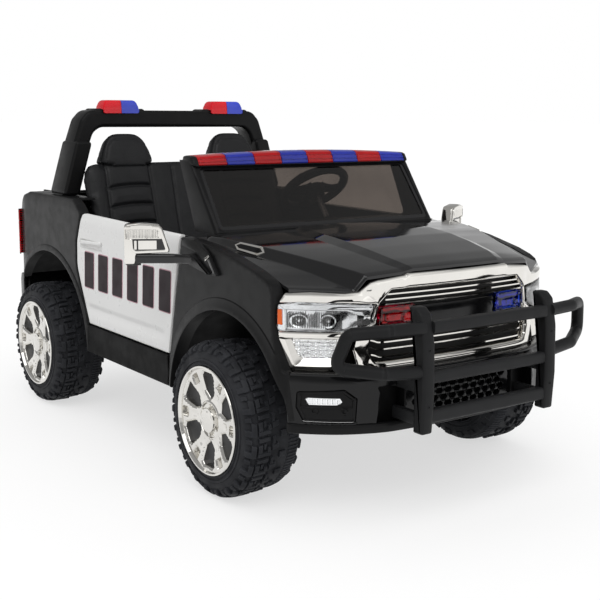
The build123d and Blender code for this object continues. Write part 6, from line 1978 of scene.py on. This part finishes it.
GAUGE_DROP, KNOB_DROP = 0.033, 0.0455
TICKS = 11
NEEDLE = mm(-1, 4, 1, 4, 0.5, -16, -0.5, -16)
controls, bezels, dial_faces, marks = Shape(), Shape(), Shape(), Shape()


def dial_stack(shape, y, loop, low, high):
    """A flat mark on the gauge at y, from a loop about its middle."""
    spots = [(y + a, GAUGE_DROP + b) for a, b in loop]
    shape.stack(dash_place, [(spots, low), (spots, high)])


for y in (0.102, 0.16):
    at = (y, GAUGE_DROP)
    ring = ((0.024, 0.0), (0.024, -0.006), (0.0225, -0.007), (0.0212, -0.006), (0.0212, 0.0))
    bezels.discs(dash_place, at, 48, ring, closed=True)
    dial_faces.discs(dash_place, at, 48, ((0.0214, 0.0), (0.0214, -0.0016)))
    for k in range(TICKS):
        start = 0.0145 if k % 2 else 0.013
        tick = bar_at(math.radians(-225 + 27 * k), start, 0.019, 0.0006)
        dial_stack(marks, y, tick, -0.0014, -0.002)
    needle = [(a * 0.8 - b * 0.6, a * 0.6 + b * 0.8) for a, b in NEEDLE]
    dial_stack(marks, y, needle, -0.0022, -0.003)
    bezels.discs(dash_place, at, 16, ((0.0026, -0.0016), (0.0026, -0.0036), (0.0014, -0.0042)))
screen_line = round_corners(mm(-36, 10, 36, 10, 35, 34, -35, 34), 0.003)
controls.panel(screen_line, raised(dash_place, 0.0062), 0.003, step=0.01, edge=0.0008)
for y in (-0.026, 0.026):
    at = (y, KNOB_DROP)
    knob = ((0.007, -0.004), (0.007, -0.0125), (0.0062, -0.014), (0.004, -0.014))
    controls.discs(dash_place, at, 24, knob)
    bezels.discs(dash_place, at, 24, ((0.0082, -0.0048), (0.0082, -0.0062), (0.007, -0.0066)))
keys = [(-0.028 + 0.014 * k, 0.0056, 0.0585, 0.067) for k in range(5)]
for y, half, low, high in (*keys, (-0.0085, 0.0062, 0.04, 0.051), (0.0085, 0.0062, 0.04, 0.051)):
    key = rect(y - half, low, y + half, high, 0.0014)
    controls.panel(key, raised(dash_place, 0.0068), 0.003, step=0.004, edge=0.001)
# air vents: a bright frame round four slats
FRAME_BAR = 0.0022
SLAT = mm(0, -0.5, 0.8, -3, 1.8, -2.6, 1, 0)
for y, wide in ((-0.26, 0.019), (-0.086, 0.019), (0.279, 0.015)):
    hole = rect(y - wide + FRAME_BAR, 0.0172, y + wide - FRAME_BAR, 0.0338, 0.002)
    bezels.panel(
        rect(y - wide, 0.015, y + wide, 0.036, 0.003), raised(dash_place, 0.0032), 0.0034,
        holes=[hole], step=0.005, edge=0.0008,
    )
    for k in range(4):
        s = 0.019 + 0.0042 * k
        ends = (-wide + 0.002, wide - 0.002)
        controls.rings([[dash_place(y + a, s + b, d) for b, d in SLAT] for a in ends])
controls.make("dash_controls", BUMPER, slot="black_plastic")
bezels.make("dash_bezels", CHROME, slot="chrome")
dial_faces.make("dial_faces", DEEP, slot="black_plastic")
marks.make("dial_marks", WHITE)

WHEEL_AT, COLUMN_TURN = Vector((-0.02, 0.13, 0.52)), math.radians(51.5)
COLUMN = Vector((math.cos(COLUMN_TURN), 0.0, -math.sin(COLUMN_TURN)))
WHEEL_UP = Vector((math.sin(COLUMN_TURN), 0.0, math.cos(COLUMN_TURN)))
GRIP_R, GRIP_WIDE, GRIP_DEEP = 0.072, 0.0092, 0.0098


def wheel_place(a, b, along):
    """Point in the steering wheel's plane, a to the left, b up its face, along the column."""
    return WHEEL_AT + Vector((0.0, a, 0.0)) + WHEEL_UP * b + COLUMN * along


def near_turn(turn, degrees, width):
    return math.exp(-(((turn - math.radians(degrees)) / width) ** 2))


ring = Shape()
sections = []
for turn in angles(72):
    # thicker grips at ten and two, a slight flat at the bottom
    grip = 1.0 + 0.1 * near_turn(turn, 40, 0.35) + 0.1 * near_turn(turn, 140, 0.35)
    radius = GRIP_R - 0.0025 * near_turn(turn, 270, 0.45)
    section = []
    for t in angles(18):
        rib = 1.0 - 0.05 * (1 + math.cos(6 * t)) * (0.5 if 1 < t < 5 else 0.0)
        out = radius + GRIP_WIDE * grip * rib * math.cos(t)
        depth = GRIP_DEEP * grip * rib * math.sin(t)
        section.append(wheel_place(out * math.cos(turn), out * math.sin(turn), depth))
    sections.append(section)
ring.rings(sections, closed=True)
# spokes: distance from the hub, width against the spoke's own, lift and half thickness
SPOKE = [
    (0.016, 1.5, -0.002, 0.0055), (0.028, 1.15, 0.0, 0.0048), (0.045, 1.0, 0.001, 0.004),
    (0.06, 1.05, 0.0, 0.0042), (0.068, 1.35, 0.0, 0.005),
]
for angle, wide in ((0, 0.0115), (180, 0.0115), (270, 0.01)):
    turn = math.radians(angle)
    ray, side = Vector((math.cos(turn), math.sin(turn))), Vector((-math.sin(turn), math.cos(turn)))
    rings = []
    for r, share, lift, thick in SPOKE:
        section = box_section(2 * wide * share, 2 * thick, 0.003, 2)
        rings.append([wheel_place(*(ray * r + side * p.x), lift + p.y) for p in section])
    ring.rings(rings)


def hub_place(a, b, along):
    """The wheel's plane, a little shorter than wide."""
    return wheel_place(a, b * 0.94, along)


HUB_PROFILE = mm(
    0.2, -7.8, 12, -7.5, 19, -5.5, 23.2, -2, 24, 3, 22.5, 12, 18, 19.8, 0.2, 19.8
)
ring.discs(hub_place, (0.0, 0.0), 40, HUB_PROFILE)
ring.make("steering_rim", BLACK, "steering_wheel", "black_plastic", ["steering_wheel"], sharp=38.0)
emblem = Shape().discs(hub_place, (0.0, 0.0), 40, mm(11, -7, 11, -8.6, 9.8, -9.2, 7, -8.6))
for a in (-0.042, 0.042):
    emblem.discs(wheel_place, (a, 0.0), 20, mm(5.2, -3, 5.2, -5.6, 4.2, -6.4))
emblem.make("steering_trim", CHROME, "steering_wheel", "chrome", sharp=30.0)


# --------------------------------------------------------------------------- rear end
def sunk(u, v, middle, half, soft):
    """1 inside a rectangle about (0, middle) with these half sizes, easing to 0 at its edge."""
    return within(np.maximum(np.abs(u) - half[0], np.abs(v - middle) - half[1]), -soft)


def gate_relief(y, z):
    # a wide pressed panel, a handle pocket and a step along the top
    field = sunk(y, z, 0.422, (0.214, 0.03), 0.004)
    pocket = sunk(y, z, 0.46, (0.042, 0.011), 0.004)
    ribs = 0.0012 * ridge(z - 0.41, 0.0035) + 0.0012 * ridge(z - 0.434, 0.0035)
    return -0.0032 * field - 0.005 * pocket * (1 - field) - 0.003 * pocket * field + ribs * field


TAIL_X = -0.6548
gate = Shape().panel(
    rect(-0.2497, 0.371, 0.2497, 0.4887, 0.005), upright(TAIL_X, 0), 0.0176,
    step=0.0055, edge=0.0035, relief=gate_relief,
)
gate.make("tailgate_panel", BODY, "tailgate", "body_satin", ["tailgate"], sharp=30.0)
grip = Shape().panel(
    round_corners(mm(-36, 458.5, 36, 458.5, 34, 469, -34, 469), 0.003), upright(-0.6536, 0), 0.006,
    step=0.004, edge=0.0018,
)
grip.make("tailgate_handle", BUMPER, "tailgate", "black_plastic")


def rear_relief(y, z):
    line = ridge(z - 0.33, 0.003) * (np.abs(y) < 0.235)
    return -0.0014 * line - 0.002 * sunk(y, z, 0.308, (0.165, 0.014), 0.003)


rear = Shape().panel(
    mm(
        -299.5, 286.2, 299.5, 286.2, 299.5, 474.8, 255.5, 474.8, 255.5, 365.3, -255.5, 365.3,
        -255.5, 474.8, -299.5, 474.8,
    ),
    upright(TAIL_X, 0), 0.0215, step=0.007, edge=0.0022, relief=rear_relief,
)
rear.make("rear_face", BODY, slot="body_satin", replaces=["rear_panel"], sharp=30.0)

# tail lamps wrap the corner: a red shell over a bright core, with a dark rim
LAMP = round_corners(
    mm(
        -660, -258.5, -660, -312, -656, -321.5, -641.5, -325.8, -641.5, -322.5, -655, -320,
        -655.2, -258.5,
    ),
    [0.001, 0.006, 0.004, 0.001, 0.0, 0.0, 0.0], 3,
)
CORE = mm(-655.1, -260, -655.1, -319, -653.5, -319, -653.5, -260)
lamp, core, rim = Shape(), Shape(), Shape()
for low, high in mm(338, 364, 365, 418, 419, 446):
    levels = ((low, 0.0008), (low + 0.001, 0.0), (high - 0.001, 0.0), (high, 0.0008))
    lamp.solid(LAMP, upright(0.0, 2), levels)
for k in range(18):
    z = 0.34 + 0.0058 * k
    core.stack(upright(0.0, 2), ((CORE, z), (CORE, z + 0.0046)))
for low, high in mm(336.2, 337.8, 446.2, 447.8):
    rim.stack(upright(0.0, 2), ((LAMP, low), (LAMP, high)))
pair(lamp, "tail_lens", RED, slot="lens_red", replaces=["tail_lamp"], sharp=30.0)
pair(core, "tail_reflector", SILVER)
pair(rim, "tail_rim", BUMPER)

# bumper with a blank plate recess, pads and reflectors
BUMPER_PLAN = mm(-680.8, 0, -680.8, 230, -679.5, 260, -677, 300, -670, 315)
BUMPER_XS, BUMPER_YS = zip(*BUMPER_PLAN)
PLATE_Z = 0.243


def rear_bumper_place(y, z, depth):
    return Vector((float(np.interp(abs(y), BUMPER_YS, BUMPER_XS)) + depth, y, z))


def rear_bumper_relief(y, z):
    away = np.abs(y)
    plate = sunk(y, z, PLATE_Z, (0.07, 0.023), 0.003)
    step = smooth_step(z, 0.262, 0.268) * within(away, 0.268, 0.276)
    lower = smooth_step(0.224 - z, -0.002, 0.003) * (1 - plate)
    end = smooth_step(away, 0.286, 0.292)
    wing = within(np.abs(z - 0.244) - 0.012, -0.002) * smooth_step(away, 0.1, 0.104)
    wing = wing * within(away, 0.2, 0.204)
    return -0.006 * plate - 0.003 * step - 0.004 * lower - 0.002 * end - 0.0022 * wing


tail_line = both(mm(-315, 285, -317, 270, -317, 220, -308, 206))
tail_bumper = Shape().panel(
    round_corners(tail_line, 0.004), rear_bumper_place, 0.025, relief=rear_bumper_relief, **CREASED
)
tail_bumper.make(
    "tail_bumper", BUMPER, slot="black_plastic", replaces=["rear_bumper"], sharp=30.0
)
plate = Shape().panel(
    rect(-0.06, 0.227, 0.06, 0.259, 0.004), rear_bumper_place, 0.0062, edge=0.0008,
    relief=lambda y, z: -0.0042 + 0.0007 * sunk(y, z, PLATE_Z, (0.056, 0.0125), 0.0012),
)
plate.make("blank_plate", WHITE, slot="door_white")
glint = Shape().panel(
    rect(-0.264, 0.238, -0.214, 0.25, 0.003), rear_bumper_place, 0.004, step=0.004, edge=0.001,
    relief=waves(0.0004, 0.0004, 0.004),
)
pair(glint, "bumper_reflector", RED, slot="lens_red")

# ------------------------------------------------------------------------------ finish
# the CAD solids that still show take their slot's look, except the chassis and bed tubs: they take
# the darkest black, painted shade for the inside of the body seen through the gaps
for row in frame["record"]["subparts"]:
    dark = row["node"] in ("chassis_tub", "bed_tub")
    node = nodes[row["node"]]
    node.data.materials.clear()
    node.data.materials.append(DEEP if dark else SLOT_LOOKS[row["material_slot"]])

low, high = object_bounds()
{"cad": [list(cad_low), list(cad_high)], "visual": [list(low), list(high)]}
